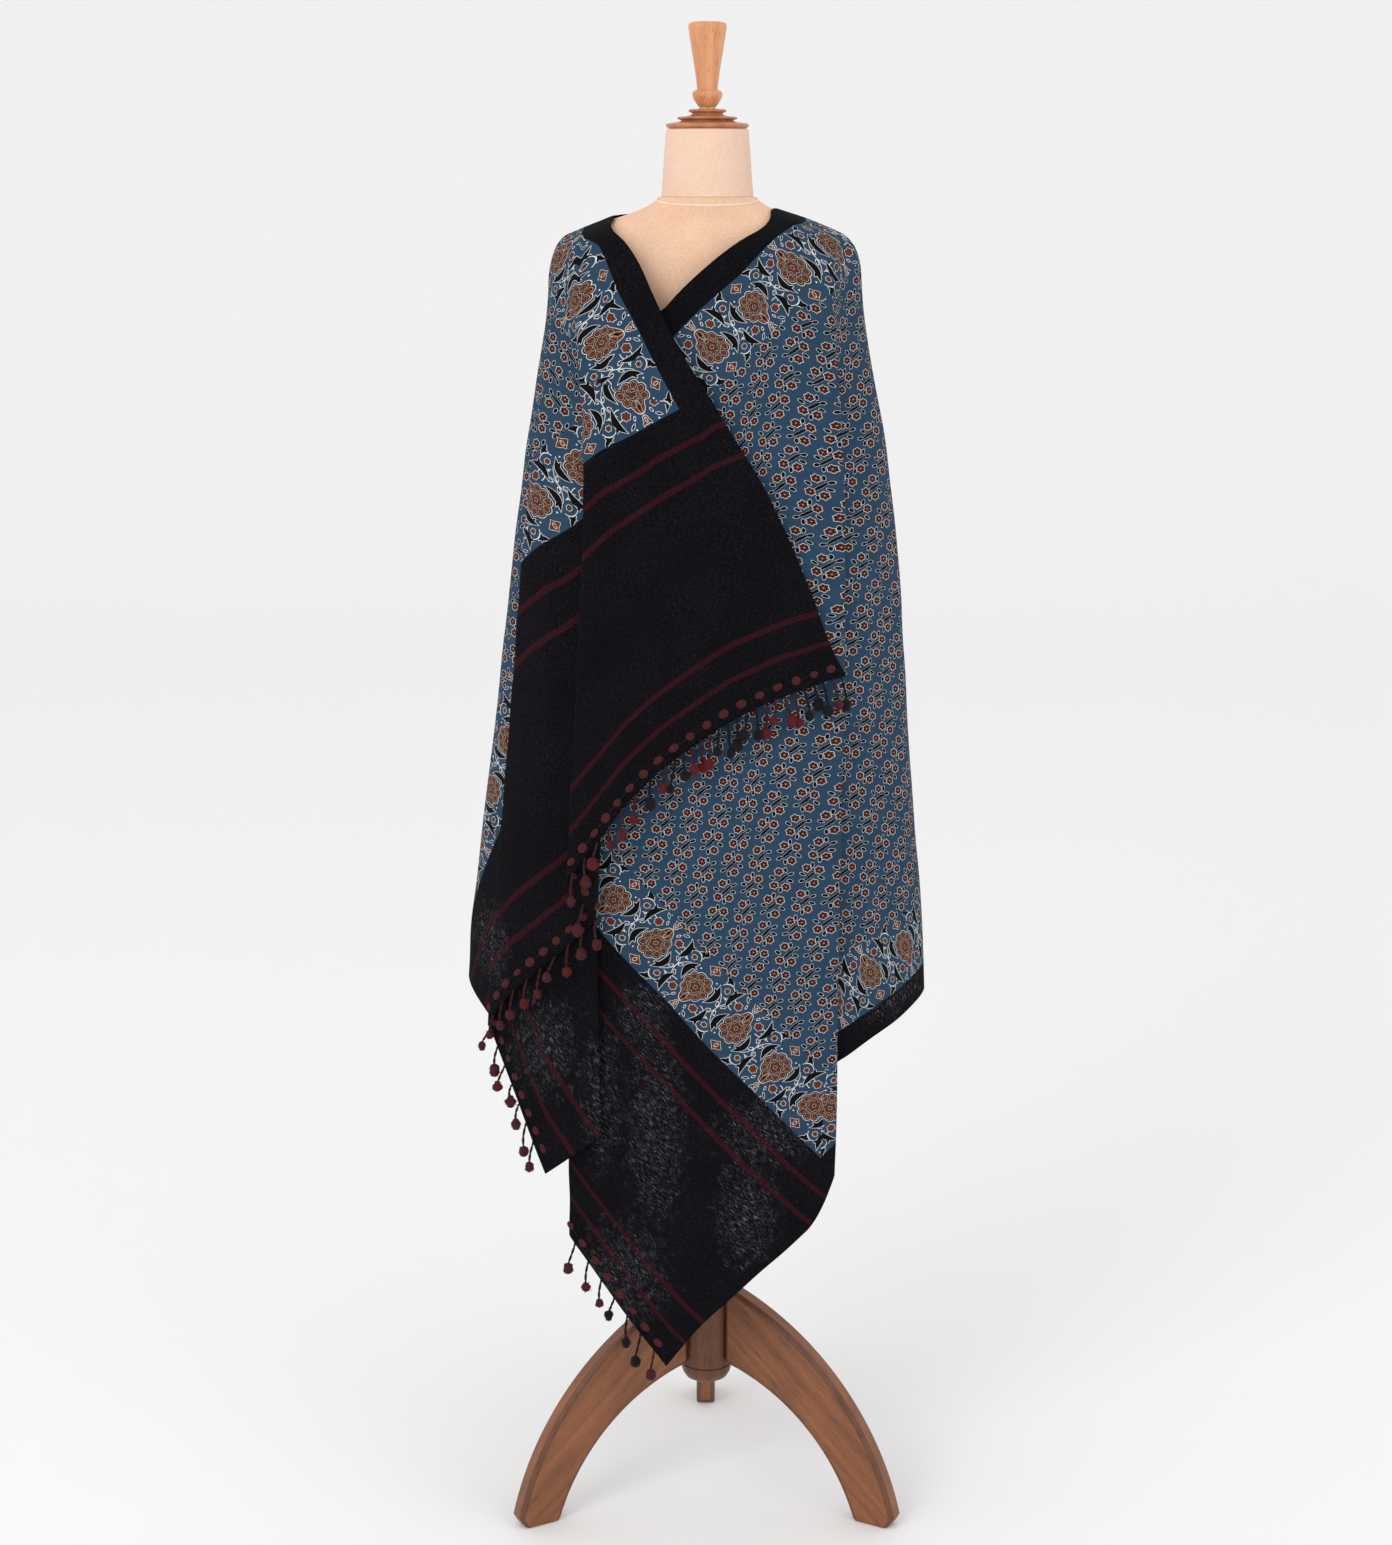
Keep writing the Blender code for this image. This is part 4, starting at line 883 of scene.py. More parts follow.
def woven(shader, colour, u, v, depth):
    """Over and under: the product of a wave along each set of threads, as a bump."""
    over = (u * (math.tau / WEAVE_MM)).sine() * (v * (math.tau / WEAVE_MM)).sine()
    paint(shader, colour, over * 0.5 + clouds(u, v, 2.5), 0.55, depth)


def printed_cotton():
    """Blue ground, white outlines, then black and rust fillings, each a little worn."""
    material, shader, place = material_named("indigo_block_print_cotton", Roughness=0.9,
                                             Specular_IOR_Level=0.15)
    u, v = flat_millimetres(place.tree)
    wobble = clouds(u, v, 14.0, 1.0) * 1.6 - 0.8
    to_seam, to_border = from_edges(u, v, 1000 * END_PANEL, 1000 * BORDER)
    by_border = to_border < to_seam
    depth = to_seam.least(to_border) + wobble
    along = u * by_border * (BAND_PERIOD / BORDER_PERIOD) + v * (by_border * -1.0 + 1.0) + wobble
    in_field = depth > BAND_DEPTH
    *band, vines = band_print(along, depth)
    field = field_print(u + wobble, v + wobble)
    rust, black, seeds, fine_lines = (add(place.tree, "Mix", in_field, A=a, B=b)
                                      for a, b in zip(band, field))
    white = (rust.least(black) < 0.0).most((vines < 0.0) * (in_field * -1.0 + 1.0))
    rust_fill = rust < -RIM
    black_fill = ((black < -RIM) * (rust > 0.0)).most((seeds < 0.0) * rust_fill)
    black_fill = black_fill.most(rust_fill * (rust > -RIM - INNER_LINE))
    light_lines = (fine_lines < 0.0) * (rust < 0.0)
    fade, grain = clouds(u, v, 38.0), clouds(u, v, 1.6, 2.0)
    red = add(place.tree, "MixRGB", grain * 1.6 - 0.3, linear(RUST_DARK), linear(RUST))
    colour = linear(DEEP_BLUE)
    for share, dye in ((fade * 0.9 + grain * 0.5 - 0.2, linear(BLUE)),
                       (white * (grain * 0.4 + 0.72), linear(WHITE_LINE)),
                       (rust_fill, red), (black_fill, linear(BLACK_DYE)),
                       (light_lines * (grain * 0.4 + 0.45), linear(PALE_LINE))):
        colour = add(place.tree, "MixRGB", share, colour, dye)
    woven(shader, colour, u, v, 0.0004)
    return material


printed = printed_cotton()
print(printed.name, "has", len(printed.node_tree.nodes), "nodes")

# %% [markdown]
# ## Black handwoven cotton
#
# The borders and end panels are woven from coarse black cotton, with thick and thin yarns that
# show as grey slubs; these are painted lighter only in patches where the light catches them, a
# painted highlight. Two pairs of maroon stripes cross each end panel, 43 and 80 mm from the end
# and 273 and 312 mm from it, woven as a twill.

# %% Black cloth with maroon stripes
BLACK_YARN, GREY_YARN, PAINTED_HIGHLIGHT_YARN = "#070609", "#1f1d24", "#77767e"
MAROON_STRIPE = "#3c131d"
STRIPES, STRIPE_HALF = (43.0, 80.0, 273.0, 312.0), 3.3
TWILL_MM = 2.6
YARN_PATCH, SLUB_PATCH = 1 / 1.3, 1 / 1.05
DRAWN_OUT, SLUB_DRAWN = 0.2, 0.12
# Painted highlight, where the slubs catch the light: x and z of a patch's middle, its half width
# and half height
PAINTED_HIGHLIGHT_PATCHES = [
    (-0.110, 0.540, 0.022, 0.085), (-0.063, 0.643, 0.028, 0.038), (-0.048, 0.506, 0.034, 0.115),
    (0.059, 0.399, 0.036, 0.070), (0.085, 0.503, 0.058, 0.045), (-0.085, 0.318, 0.050, 0.065),
    (-0.179, 0.599, 0.038, 0.060), (-0.240, 0.709, 0.022, 0.045), (0.215, 0.650, 0.050, 0.030),
]


def handwoven_cotton():
    """Black yarn with lighter flecks, and maroon where the distance to a stripe is small. Thick
    and thin places in a yarn are clouds drawn out along it, painted lighter only in the patches
    of painted highlight."""
    material, shader, place = material_named("black_handwoven_cotton", Roughness=0.95,
                                             Specular_IOR_Level=0.08)
    u, v = flat_millimetres(place.tree)
    from_end = from_edges(u, v)[0] + (clouds(u, v, 45.0, 1.0) * 3.0 - 1.5)
    near = union(abs(from_end - stripe) for stripe in STRIPES)
    warp = clouds(u * DRAWN_OUT, v, YARN_PATCH, 2.0)
    weft = clouds(u, v * DRAWN_OUT, YARN_PATCH, 2.0)
    right = add(place.tree, "SeparateXYZ", place)
    up = Field(right.node, "Z")
    # Painted highlight: the slubs grow lighter near the middles of the listed patches, at fixed
    # places
    away = union(((right - s) * (1 / wide)) ** 2.0 + ((up - t) * (1 / high)) ** 2.0
                 for s, t, wide, high in PAINTED_HIGHLIGHT_PATCHES)
    painted_highlight = (away * -0.55 + 0.92 + clouds(u, v, 13.0, 2.0) * 2.2 - 1.25).most(0.0).least(1.0)
    flecks = ((warp + weft - 0.62) * 2.2).least((warp + weft - 1.02) * 9.0).most(0.0)
    light = flecks * (clouds(u, v, 70.0, 1.0) * 1.1 + 0.1)
    slubs = clouds(u, v * SLUB_DRAWN, SLUB_PATCH) + warp * 0.45 - 0.78
    slubs = (slubs * 9.0).most(0.0).least(1.0)
    twill = ((u + v) * (math.tau / TWILL_MM)).sine() * 0.18 + 0.62
    stripe = (near < STRIPE_HALF) * (twill + warp * 1.6 - 0.85).most(0.0).least(1.0)
    colour = linear(BLACK_YARN)
    for share, yarn in ((light.least(1.0), GREY_YARN), (slubs * painted_highlight * 0.8, PAINTED_HIGHLIGHT_YARN),
                        (stripe, MAROON_STRIPE)):
        colour = add(place.tree, "MixRGB", share, colour, linear(yarn))
    woven(shader, colour, u, v, 0.0006)
    return material


handwoven = handwoven_cotton()
print(handwoven.name, "has", len(handwoven.node_tree.nodes), "nodes")

# %% Hang the panels
PRINT_ROWS, END_ROWS, BORDER_ROWS = ((180, 84, 8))
PLACES = {"left": (0.0, float(names.index(BACK_STARTS))),
          "back": tuple(float(names.index(name)) for name in (BACK_STARTS, BACK_ENDS)),
          "right": (float(names.index(BACK_ENDS)), LAST_LINE),
          "over": (0.0, MIDDLE), "under": (MIDDLE, LAST_LINE)}
for part, sides, rows, cloth, slot in (
        ("print", ("left", "back", "right"), PRINT_ROWS, printed, "print"),
        ("neck_border", ("left", "back", "right"), BORDER_ROWS, handwoven, "border"),
        ("hem_border", ("back", "right"), BORDER_ROWS, handwoven, "border"),
        ("end_panel", ("over", "under"), END_ROWS, handwoven, "end_panel")):
    for side in sides:
        cloth_panel(part + "_" + side, part, *PLACES[side], rows, cloth, slot)

# %% [markdown]
# ## Knots and pompom tassels
#
# A row of maroon knots is worked across each end, 13 mm in and about 23.5 mm apart, linked by a
# grey thread. From the edge itself hang the tassels: two plied threads each, with a fluffy
# pompom. They come in groups of maroon and groups of black. A knot and a pompom repeat many
# times, so each has few faces: a small lumpy body, and for a pompom a coat of thin spikes.

# %% A spot of the flat cloth, found on the hung cloth
KNOT_INSET, KNOT_SPACING = 0.013, 0.0235


def spots_near_end(widths, first, last):
    """Where points hang that lie the knots' inset from the end: on each plumb line the depth
    and v at that distance, then the wanted widths are looked up between the lines."""
    lines = np.linspace(first, last, int((last - first) * 6) + 1)
    end_u = 0.0 if first < MIDDLE else CLOTH_LENGTH
    found = []
    for line in lines:
        plumb = plumb_line(float(line))
        u, place, v = (plumb[key][-2:] for key in ("u", "place", "v"))
        share = abs(KNOT_INSET / max(abs(float(u[0] - end_u)), 0.0001))
        found.append((depth_down(plumb, place[1] - (place[1] - place[0]) * share),
                      v[1] - (v[1] - v[0]) * share))
    depth, v = np.array(found).T
    order = np.argsort(v)
    line = np.interp(widths, v[order], lines[order])
    at_depth = np.interp(line, lines, depth)
    return hung(line, at_depth, np.full(len(widths), abs(end_u - KNOT_INSET)), widths)


# %% Thread finishes
def dyed_thread(name, light, dark):
    """Plied cotton: matt, with random dark spots, painted shade for the gaps between its strands.
    """
    material, shader, place = material_named(name, Roughness=0.9, Sheen_Weight=0.03,
                                             Specular_IOR_Level=0.25)
    fibre = add(place.tree, "TexNoise", Vector=place, Scale=900.0)
    paint(shader, add(fibre.tree, "MixRGB", fibre * 1.8 - 0.35, linear(dark), linear(light)))
    return material


TASSEL_THREADS = {"m": dyed_thread("maroon_cotton_thread", "#64141e", "#2a080e"),
                  "k": dyed_thread("black_cotton_thread", "#0c0a0f", "#040405"),
                  "f": dyed_thread("faded_maroon_cotton_thread", "#521d21", "#260b10"),
                  "p": dyed_thread("dark_plied_cotton_thread", "#43171d", "#16080c")}
grey_thread = dyed_thread("grey_cotton_thread", "#1a171c", "#0b090d")
BLACK_KIND, PLIED_KIND = 1, 3


# %% Shapes that repeat
def unit_ball(around, down):
    """A ball: a grid of two angles, closed at its poles by shared points."""
    turn = np.linspace(0, 2 * np.pi, around + 1)[:, None]
    fall = np.linspace(0, np.pi, down + 1)[None, :]
    return np.stack(np.broadcast_arrays(np.cos(turn) * np.sin(fall), np.sin(turn) * np.sin(fall),
                                        np.cos(fall) + 0 * turn), axis=-1)


def joined_grids(name, grids, face_material=None):
    """One mesh from many grids of the same size."""
    count, columns, rows = grids.shape[:3]
    index = np.arange(columns * rows).reshape(columns, rows)
    quads = np.stack([index[:-1, :-1], index[:-1, 1:], index[1:, 1:], index[1:, :-1]], -1)
    quads = quads.reshape(-1, 4)
    faces = (quads[None] + (np.arange(count) * columns * rows)[:, None, None]).reshape(-1, 4)
    mesh = bpy.data.meshes.new(name)
    mesh.from_pydata(grids.reshape(-1, 3), [], faces)
    if face_material is not None:
        mesh.polygons.foreach_set("material_index", np.repeat(face_material, len(quads)))
    return mesh


def tubes(paths, radius, around):
    """Rings of points round each path: the path's point plus a turn in the level plane."""
    turn = np.linspace(0, 2 * np.pi, around + 1)
    ring = np.stack([np.cos(turn), np.sin(turn), 0 * turn], axis=-1)
    width = np.broadcast_to(radius, paths.shape[:2])
    return paths[:, None] + ring[None, :, None] * width[:, None, :, None]


# %% Knots across both ends
KNOT_HALF, KNOT_SIZES = np.array([6.4, 4.6, 2.0]) / 1000, (0.80, 1.12)
KNOT_LUMPS, KNOT_LIFT, ALONG_STEP = 0.1, 0.0004, 0.004
LINK_STEP, LINK_PAST, LINK_RADIUS, LINK_SIDES = 0.0035, 0.006, 0.0006, 5
LINK_LIFT, LINK_WAVE, LINK_WAVES = 0.0007, 0.0003, 2100


def knot_row(name, first, last, lowest):
    """Oval knots that sit on the face of the cloth: half balls, squashed at random and lumpy."""
    widths = np.arange(KNOT_SPACING * 0.6, CLOTH_WIDTH, KNOT_SPACING)
    widths = widths[widths > lowest]
    chance = np.random.default_rng(7)
    point, normal = spots_near_end(widths, first, last)
    along = spots_near_end(widths + ALONG_STEP, first, last)[0] - point
    along /= np.linalg.norm(along, axis=1, keepdims=True)
    across = np.cross(normal, along)
    size = KNOT_HALF * chance.uniform(*KNOT_SIZES, (len(widths), 3))
    lumps = 1 + chance.uniform(-KNOT_LUMPS, KNOT_LUMPS, (len(widths), 1, 8, 1))
    local = unit_ball(10, 7)[None] * size[:, None, None, :] * lumps
    grids = (point[:, None, None] + along[:, None, None] * local[..., :1]
             + across[:, None, None] * local[..., 1:2]
             + normal[:, None, None] * (local[..., 2:] + KNOT_LIFT))
    new_piece(merged(joined_grids(name, grids)), TASSEL_THREADS["f"], "tassel")
    fine = np.arange(widths[0] - LINK_PAST, widths[-1] + LINK_PAST, LINK_STEP)
    course, out = spots_near_end(fine, first, last)
    course = course + out * (LINK_LIFT + LINK_WAVE * np.sin(fine * LINK_WAVES)[:, None])
    link = joined_grids(name + "_thread", tubes(course[None], LINK_RADIUS, LINK_SIDES))
    new_piece(merged(link), grey_thread, "tassel")
    print(name, len(widths), "knots")


knot_row("knots_over", 0.0, OVER_END, 0.0)
knot_row("knots_under", UNDER_END, LAST_LINE, 0.22)

# %% Tassels along both ends
TASSEL_SPACING, TASSEL_APART = 0.0125, 0.0095
TASSEL_DROP, DROP_SHARES, TASSEL_STEPS = 0.029, (0.58, 1.04), 9
SWAY, SWING_OUT, ROOT_RISE = 0.005, 0.006, 0.001
THREAD_RADIUS, THREAD_SIDES, THREAD_TWIST, TWIST_TURN = 0.0011, 5, 0.00065, 9.0
POMPOM_HALF, POMPOM_SIZES, POMPOM_HANG = 0.0071, (0.82, 1.15), 0.5
POMPOM_TALL, POMPOM_PEAR, POMPOM_LUMPS, BALL_SHARE = 1.12, 0.18, 0.17, 0.86
SPIKES, SPIKE_SIDES, SPIKE_RADII = 30, 3, np.array([0.0008, 0.0001])
SPIKE_FOOT, SPIKE_LENGTHS, SPIKE_FALL, SPIKE_DROOP = 0.62, (0.35, 0.62), 0.35, 0.0009
SAME_FLUFF = 0.000002
# Each tassel's thread: k black, m maroon, f faded maroon
OVER_GROUPS = "kmkkkmmmmkkkkkmmmkkmkkkmkmfffmfffffmfffffffmffkffmffffmfffkffmffffmfff"
UNDER_GROUPS = "ffmmfkkkkkkmfmmkmfmffmkkfmffkmmffkkmffmkmffmfkmffmkmffkmffkmmffkmffmkm"


def tassel_roots(first, last):
    """Even spots along the end's edge, leaving out any too near its neighbour in plan."""
    inside = (dense >= first) & (dense <= last)
    flat, places = end_v[inside], dense[inside]
    if flat[-1] < flat[0]:
        flat, places = flat[::-1], places[::-1]
    count = int((flat[-1] - flat[0]) / TASSEL_SPACING)
    widths = flat[0] + (np.arange(count) + 0.5) * TASSEL_SPACING
    lines = np.interp(widths, flat, places)
    roots = sheet_point(lines, depth_at(edge_height("end", lines)))
    kept = [0]
    for index in range(1, len(lines)):
        if np.linalg.norm(roots[index, :2] - roots[kept[-1], :2]) >= TASSEL_APART:
            kept.append(index)
    return kept, roots[kept]


def tassel_fringe(name, nodes, first, last, groups):
    """Two threads down to a pompom: each thread swings out by a sine of the way down and winds
    round the other; the pompom is a ball drawn out upwards, with spikes on its outside."""
    kept, roots = tassel_roots(first, last)
    outward = roots * (1.0, 1.0, 0.0) / np.linalg.norm(roots[:, :2], axis=1)[:, None]
    count = len(roots)
    chance = np.random.default_rng(21)
    drop = TASSEL_DROP * chance.uniform(*DROP_SHARES, count)
    sway = chance.uniform(-SWAY, SWAY, (count, 2))
    down = np.linspace(0.0, 1.0, TASSEL_STEPS)[None, :]
    paths = np.repeat((roots + POLE_PLACE)[:, None], TASSEL_STEPS, axis=1)
    paths = paths + outward[:, None] * (SWING_OUT * np.sin(down * np.pi / 2))[..., None]
    paths[..., :2] += sway[:, None] * (down ** 2)[..., None]
    paths[..., 2] -= down * drop[:, None] - ROOT_RISE
    wound = down * TWIST_TURN
    twist = np.stack([np.cos(wound), np.sin(wound), 0 * down], axis=-1) * THREAD_TWIST
    grids = np.concatenate([tubes(paths + side * twist, THREAD_RADIUS, THREAD_SIDES)
                            for side in (1, -1)])
    kinds = np.array([list(TASSEL_THREADS).index(groups[i % len(groups)]) for i in kept])
    plied = np.where(kinds == BLACK_KIND, BLACK_KIND, PLIED_KIND)
    threads = joined_grids(name + "_threads", grids, np.tile(plied, 2))
    ends_at = paths[:, -1]
    half = POMPOM_HALF * chance.uniform(*POMPOM_SIZES, count)
    body = unit_ball(7, 6)
    body = body * np.array([1.0, 1.0, POMPOM_TALL]) * (1 - POMPOM_PEAR * body[..., 2:])
    lumps = 1 + chance.uniform(-POMPOM_LUMPS, POMPOM_LUMPS, (count, 1, 7, 1))
    balls = ends_at[:, None, None] + body[None] * half[:, None, None, None] * BALL_SHARE * lumps
    balls[..., 2] -= half[:, None, None] * POMPOM_HANG
    pompoms = joined_grids(name + "_pompoms", balls, kinds)
    towards = chance.normal(size=(count, SPIKES, 3))
    towards[..., 2] -= SPIKE_FALL
    towards /= np.linalg.norm(towards, axis=-1, keepdims=True)
    foot = ends_at[:, None] + towards * half[:, None, None] * SPIKE_FOOT
    foot[..., 2] -= half[:, None] * POMPOM_HANG
    long = half[:, None, None] * chance.uniform(*SPIKE_LENGTHS, (count, SPIKES, 1))
    tip = foot + towards * long
    tip[..., 2] -= SPIKE_DROOP
    spike_tubes = tubes(np.stack([foot, tip], axis=2).reshape(-1, 2, 3), SPIKE_RADII, SPIKE_SIDES)
    spikes = joined_grids(name + "_spikes", spike_tubes, np.repeat(kinds, SPIKES))
    work = bmesh.new()
    for mesh in (threads, pompoms, spikes):
        work.from_mesh(mesh)
    joined = bpy.data.meshes.new(name)
    bmesh.ops.remove_doubles(work, verts=work.verts, dist=SAME_FLUFF)
    bmesh.ops.recalc_face_normals(work, faces=work.faces)
    work.to_mesh(joined)
    work.free()
    for material in TASSEL_THREADS.values():
        joined.materials.append(material)
    new_piece(joined, None, "tassel", *nodes)
    print(name, count, "tassels,", len(joined.polygons), "faces")


tassel_fringe("fringe_over", ("tassels_over_front", "tassels_over_fold", "tassels_over_foot"),
              0.0, OVER_END, OVER_GROUPS)
tassel_fringe("fringe_under", ("tassels_under",), UNDER_END,
              float(names.index("fourth pleat edge")), UNDER_GROUPS)

# %% [markdown]
# ## Linen over the form
#
# The form is covered in unbleached linen, pulled smooth: a pinkish beige with the speckle of
# uneven yarns. Linen is matt, about 0.9 rough. The torso is a loft: ellipses whose half width
# and half depth run smoothly through a short table of heights. The neck is a block of its own,
# with a sewn welt where its cover meets the shoulders.

# %% Linen
WARP_STRETCH, WEFT_STRETCH = (900.0, 900.0, 250.0), (250.0, 250.0, 900.0)


def linen_cover(name, light, dark):
    """Speckle of two threads' noise; the yarns of 0.5 mm are drawn 1.1 mm wide to show."""
    material, shader, place = material_named(name, Roughness=0.92, Sheen_Weight=0.1,
                                             Specular_IOR_Level=0.25)
    tree = place.tree
    drawn = [add(tree, "VectorMath", place, stretch, operation="MULTIPLY")
             for stretch in (WARP_STRETCH, WEFT_STRETCH)]
    warp, weft = (add(tree, "TexNoise", Vector=yarn, Scale=1.0) for yarn in drawn)
    shade = add(tree, "TexNoise", Vector=place, Scale=22.0, Detail=3.0) * 0.5
    shade = (warp + weft) * 0.75 + shade - 0.5
    colour = add(tree, "MixRGB", shade, linear(dark), linear(light))
    paint(shader, colour, warp + weft, 0.4, 0.0004)
    return material


torso_linen = linen_cover("beige_linen_cover", "#f6d0b2", "#d4a688")
neck_linen = linen_cover("pale_linen_neck_cover", "#f3d5bf", "#ddb69d")
welt_linen = linen_cover("folded_linen_welt", "#fbe6d6", "#ecc9b0")

# %% Lofts, and lathe work as round lofts
# The torso's rings: height, half width, half depth, y of the middle
FORM_RINGS = [
    (1.5600, 0.0530, 0.0530, 0.010),
    (1.5508, 0.0645, 0.0545, 0.011),
    (1.5432, 0.0815, 0.0560, 0.012),
    (1.5358, 0.1045, 0.0580, 0.013),
    (1.5282, 0.1267, 0.0610, 0.012),
    (1.5160, 0.1430, 0.0660, 0.010),
    (1.4900, 0.1540, 0.0730, 0.007),
    (1.4400, 0.1570, 0.0820, 0.004),
    (1.3600, 0.1540, 0.0880, 0.002),
    (1.2700, 0.1520, 0.0920, 0.000),
    (1.1800, 0.1420, 0.0880, 0.000),
    (1.0900, 0.1300, 0.0840, 0.002),
    (0.9900, 0.1400, 0.0880, 0.004),
    (0.8900, 0.1560, 0.0940, 0.006),
    (0.8000, 0.1600, 0.0960, 0.006),
    (0.7650, 0.1520, 0.0900, 0.006),
    (0.7500, 0.1280, 0.0740, 0.006),
]
ROUND_SIDES = 96
SHARP_ANGLE = math.radians(40)
ON_POLE, ON_NECK = 0.0, 0.010


def smooth_profile(points, rounds=3):
    """Corner cutting: each pair of points gives one at a quarter and one at three quarters of
    the way, a few times over, which rounds every corner alike. The two ends stay."""
    points = np.asarray(points, float)
    for _ in range(rounds):
        early = points[:-1] * 0.75 + points[1:] * 0.25
        late = points[:-1] * 0.25 + points[1:] * 0.75
        between = np.stack([early, late], axis=1).reshape(-1, points.shape[1])
        points = np.concatenate([points[:1], between, points[-1:]])
    return points


def oval(rings, turn):
    """Half width times cosine, middle plus half depth times sine, at each ring's height."""
    height, wide, deep, middle = rings
    return np.stack(np.broadcast_arrays(wide * np.cos(turn), middle + deep * np.sin(turn),
                                        height + 0 * turn), axis=-1)


def loft(name, rings, material, slot, node):
    """An oval at each height, closed at both ends by one of no width."""
    rings = np.asarray(rings)
    closed = np.concatenate([rings[:1], rings, rings[-1:]])
    closed[[0, -1], 1:3] = 0.0
    turn = np.linspace(0, 2 * np.pi, ROUND_SIDES + 1)[:, None]
    grid = oval(closed.T[:, None], turn)[::-1, ::-1] + POLE_PLACE
    mesh = merged(mesh_from_grid(name, grid))
    new_piece(mesh, material, slot, node)
    print(name, "from", closed[:, 0].min(), "to", closed[:, 0].max(), "m high")
    return mesh


def turned(name, outline, material, slot, node, middle_y=ON_POLE):
    """A lathe: the outline's radius is both half width and half depth of the loft."""
    radius, height = np.asarray(outline, float).T
    rings = np.column_stack([height, radius, radius, np.full(len(radius), middle_y)])
    loft(name, rings, material, slot, node).set_sharp_from_angle(angle=SHARP_ANGLE)


torso_side = smooth_profile(FORM_RINGS)
loft("linen_torso", torso_side, torso_linen, "linen", "form_torso")
neck = [(0.0440, 1.6347), (0.0463, 1.6338), (0.0470, 1.6290), (0.0490, 1.6000), (0.0507, 1.5760),
        (0.0520, 1.5603)]
turned("linen_neck", smooth_profile(neck, 2), neck_linen, "linen", "form_neck", ON_NECK)

# %% The welt at the neck's foot
WELT_TOP, WELT_SAG = 1.5640, 0.0130
WELT_HALF, WELT_SIDES = (0.0009, 0.0012), 8


def neck_welt():
    """A tube round the neck's foot, lower by a few millimetres in front than behind."""
    turn = np.linspace(0, 2 * np.pi, ROUND_SIDES + 1)
    height = WELT_TOP - WELT_SAG * (0.5 - 0.5 * np.sin(turn))
    side_up = torso_side[::-1].T
    course = oval([height] + [np.interp(height, side_up[0], side_up[i]) for i in (1, 2, 3)], turn)
    side = np.linspace(0, 2 * np.pi, WELT_SIDES + 1)[None, :, None]
    out = np.stack([np.cos(turn), np.sin(turn), 0 * turn], axis=-1)[:, None]
    grid = (course[:, None] + out * np.cos(side) * WELT_HALF[0]
            + np.array([0, 0, 1.0]) * np.sin(side) * WELT_HALF[1])
    new_piece(merged(mesh_from_grid("neck_welt", grid[:, ::-1] + POLE_PLACE)), welt_linen, "linen")


neck_welt()

# %% [markdown]
# ## Turned and sawn wood
#
# The cap and the finial are turned hardwood under a satin varnish, the legs are walnut boards,
# oiled. Wood is long cells side by side, so its grain is noise drawn out along the piece, with
# slow growth rings across. Roughness is 0.4 under varnish and 0.5 oiled. A Mapping node turns
# the same pattern to run along each leg.

# %% Wood
GRAIN_STRETCH = 14.0


def wood(name, light, dark, roughness, coat, turn=0.0, lean=0.0):
    """Growth rings from a wave bent by noise, and short dark pores, both drawn out along Z."""
    material, shader, place = material_named(name, Roughness=roughness, Coat_Weight=coat,
                                             Coat_Roughness=0.25, Specular_IOR_Level=0.4)
    tree, leaning = place.tree, place
    for rotation in ((0.0, 0.0, math.radians(-turn)), (0.0, math.radians(lean), 0.0)):
        leaning = add(tree, "Mapping", leaning, Rotation=rotation)
    stretch = (1.0, 1.0, 1.0 / GRAIN_STRETCH)
    drawn = add(tree, "VectorMath", leaning, stretch, operation="MULTIPLY")
    rings = add(tree, "TexWave", Vector=drawn, Scale=16.0, Distortion=13.0, Detail=3.0,
                Detail_Scale=1.2)
    swirl, pores, broad = (add(tree, "TexNoise", Vector=way, Scale=scale, Detail=detail)
                           for way, scale, detail in ((drawn, 26.0, 3.0), (drawn, 700.0, 2.0),
                                                      (place, 12.0, 2.0)))
    dark_pores = ((pores - 0.56) * 5.0).most(0.0).least(1.0)
    shade = Field(rings.node, "Fac") * 0.18 + swirl * 0.62 + broad * 0.5 - 0.15
    colour = add(tree, "MixRGB", shade - dark_pores * 0.45, linear(dark), linear(light))
    paint(shader, colour, pores * -1.0 + 1.0, 0.25, 0.0003)
    return material


# The cap's own red-brown, with its light tone raised as painted highlight for the highlights on its
# brim
cap_wood = wood("varnished_red_brown_wood", "#dd9a6c", "#86442a", 0.38, 0.25)
finial_wood = wood("varnished_honey_wood", "#f0b080", "#a9602f", 0.4, 0.2)
# Painted shade: the hub and pole walnut is darker than the legs', standing for the shadow under the
# cloth
hub_wood_painted_shade = wood("oiled_walnut", "#80502f", "#3c2014", 0.5, 0.1)
# Painted shade: a darker copy of the walnut for the legs' rounded edges
edge_wood_painted_shade = wood("rounded_walnut_edge_painted_shade", "#7c4b31", "#3f2316", 0.45, 0.1)
brass, brass_shader, brass_place = material_named("polished_brass", Metallic=1.0, Roughness=0.28)
tarnish = add(brass_place.tree, "TexNoise", Vector=brass_place, Scale=300.0)
paint(brass_shader, add(tarnish.tree, "MixRGB", tarnish, linear("#b8893f"), linear("#e8c67c")))

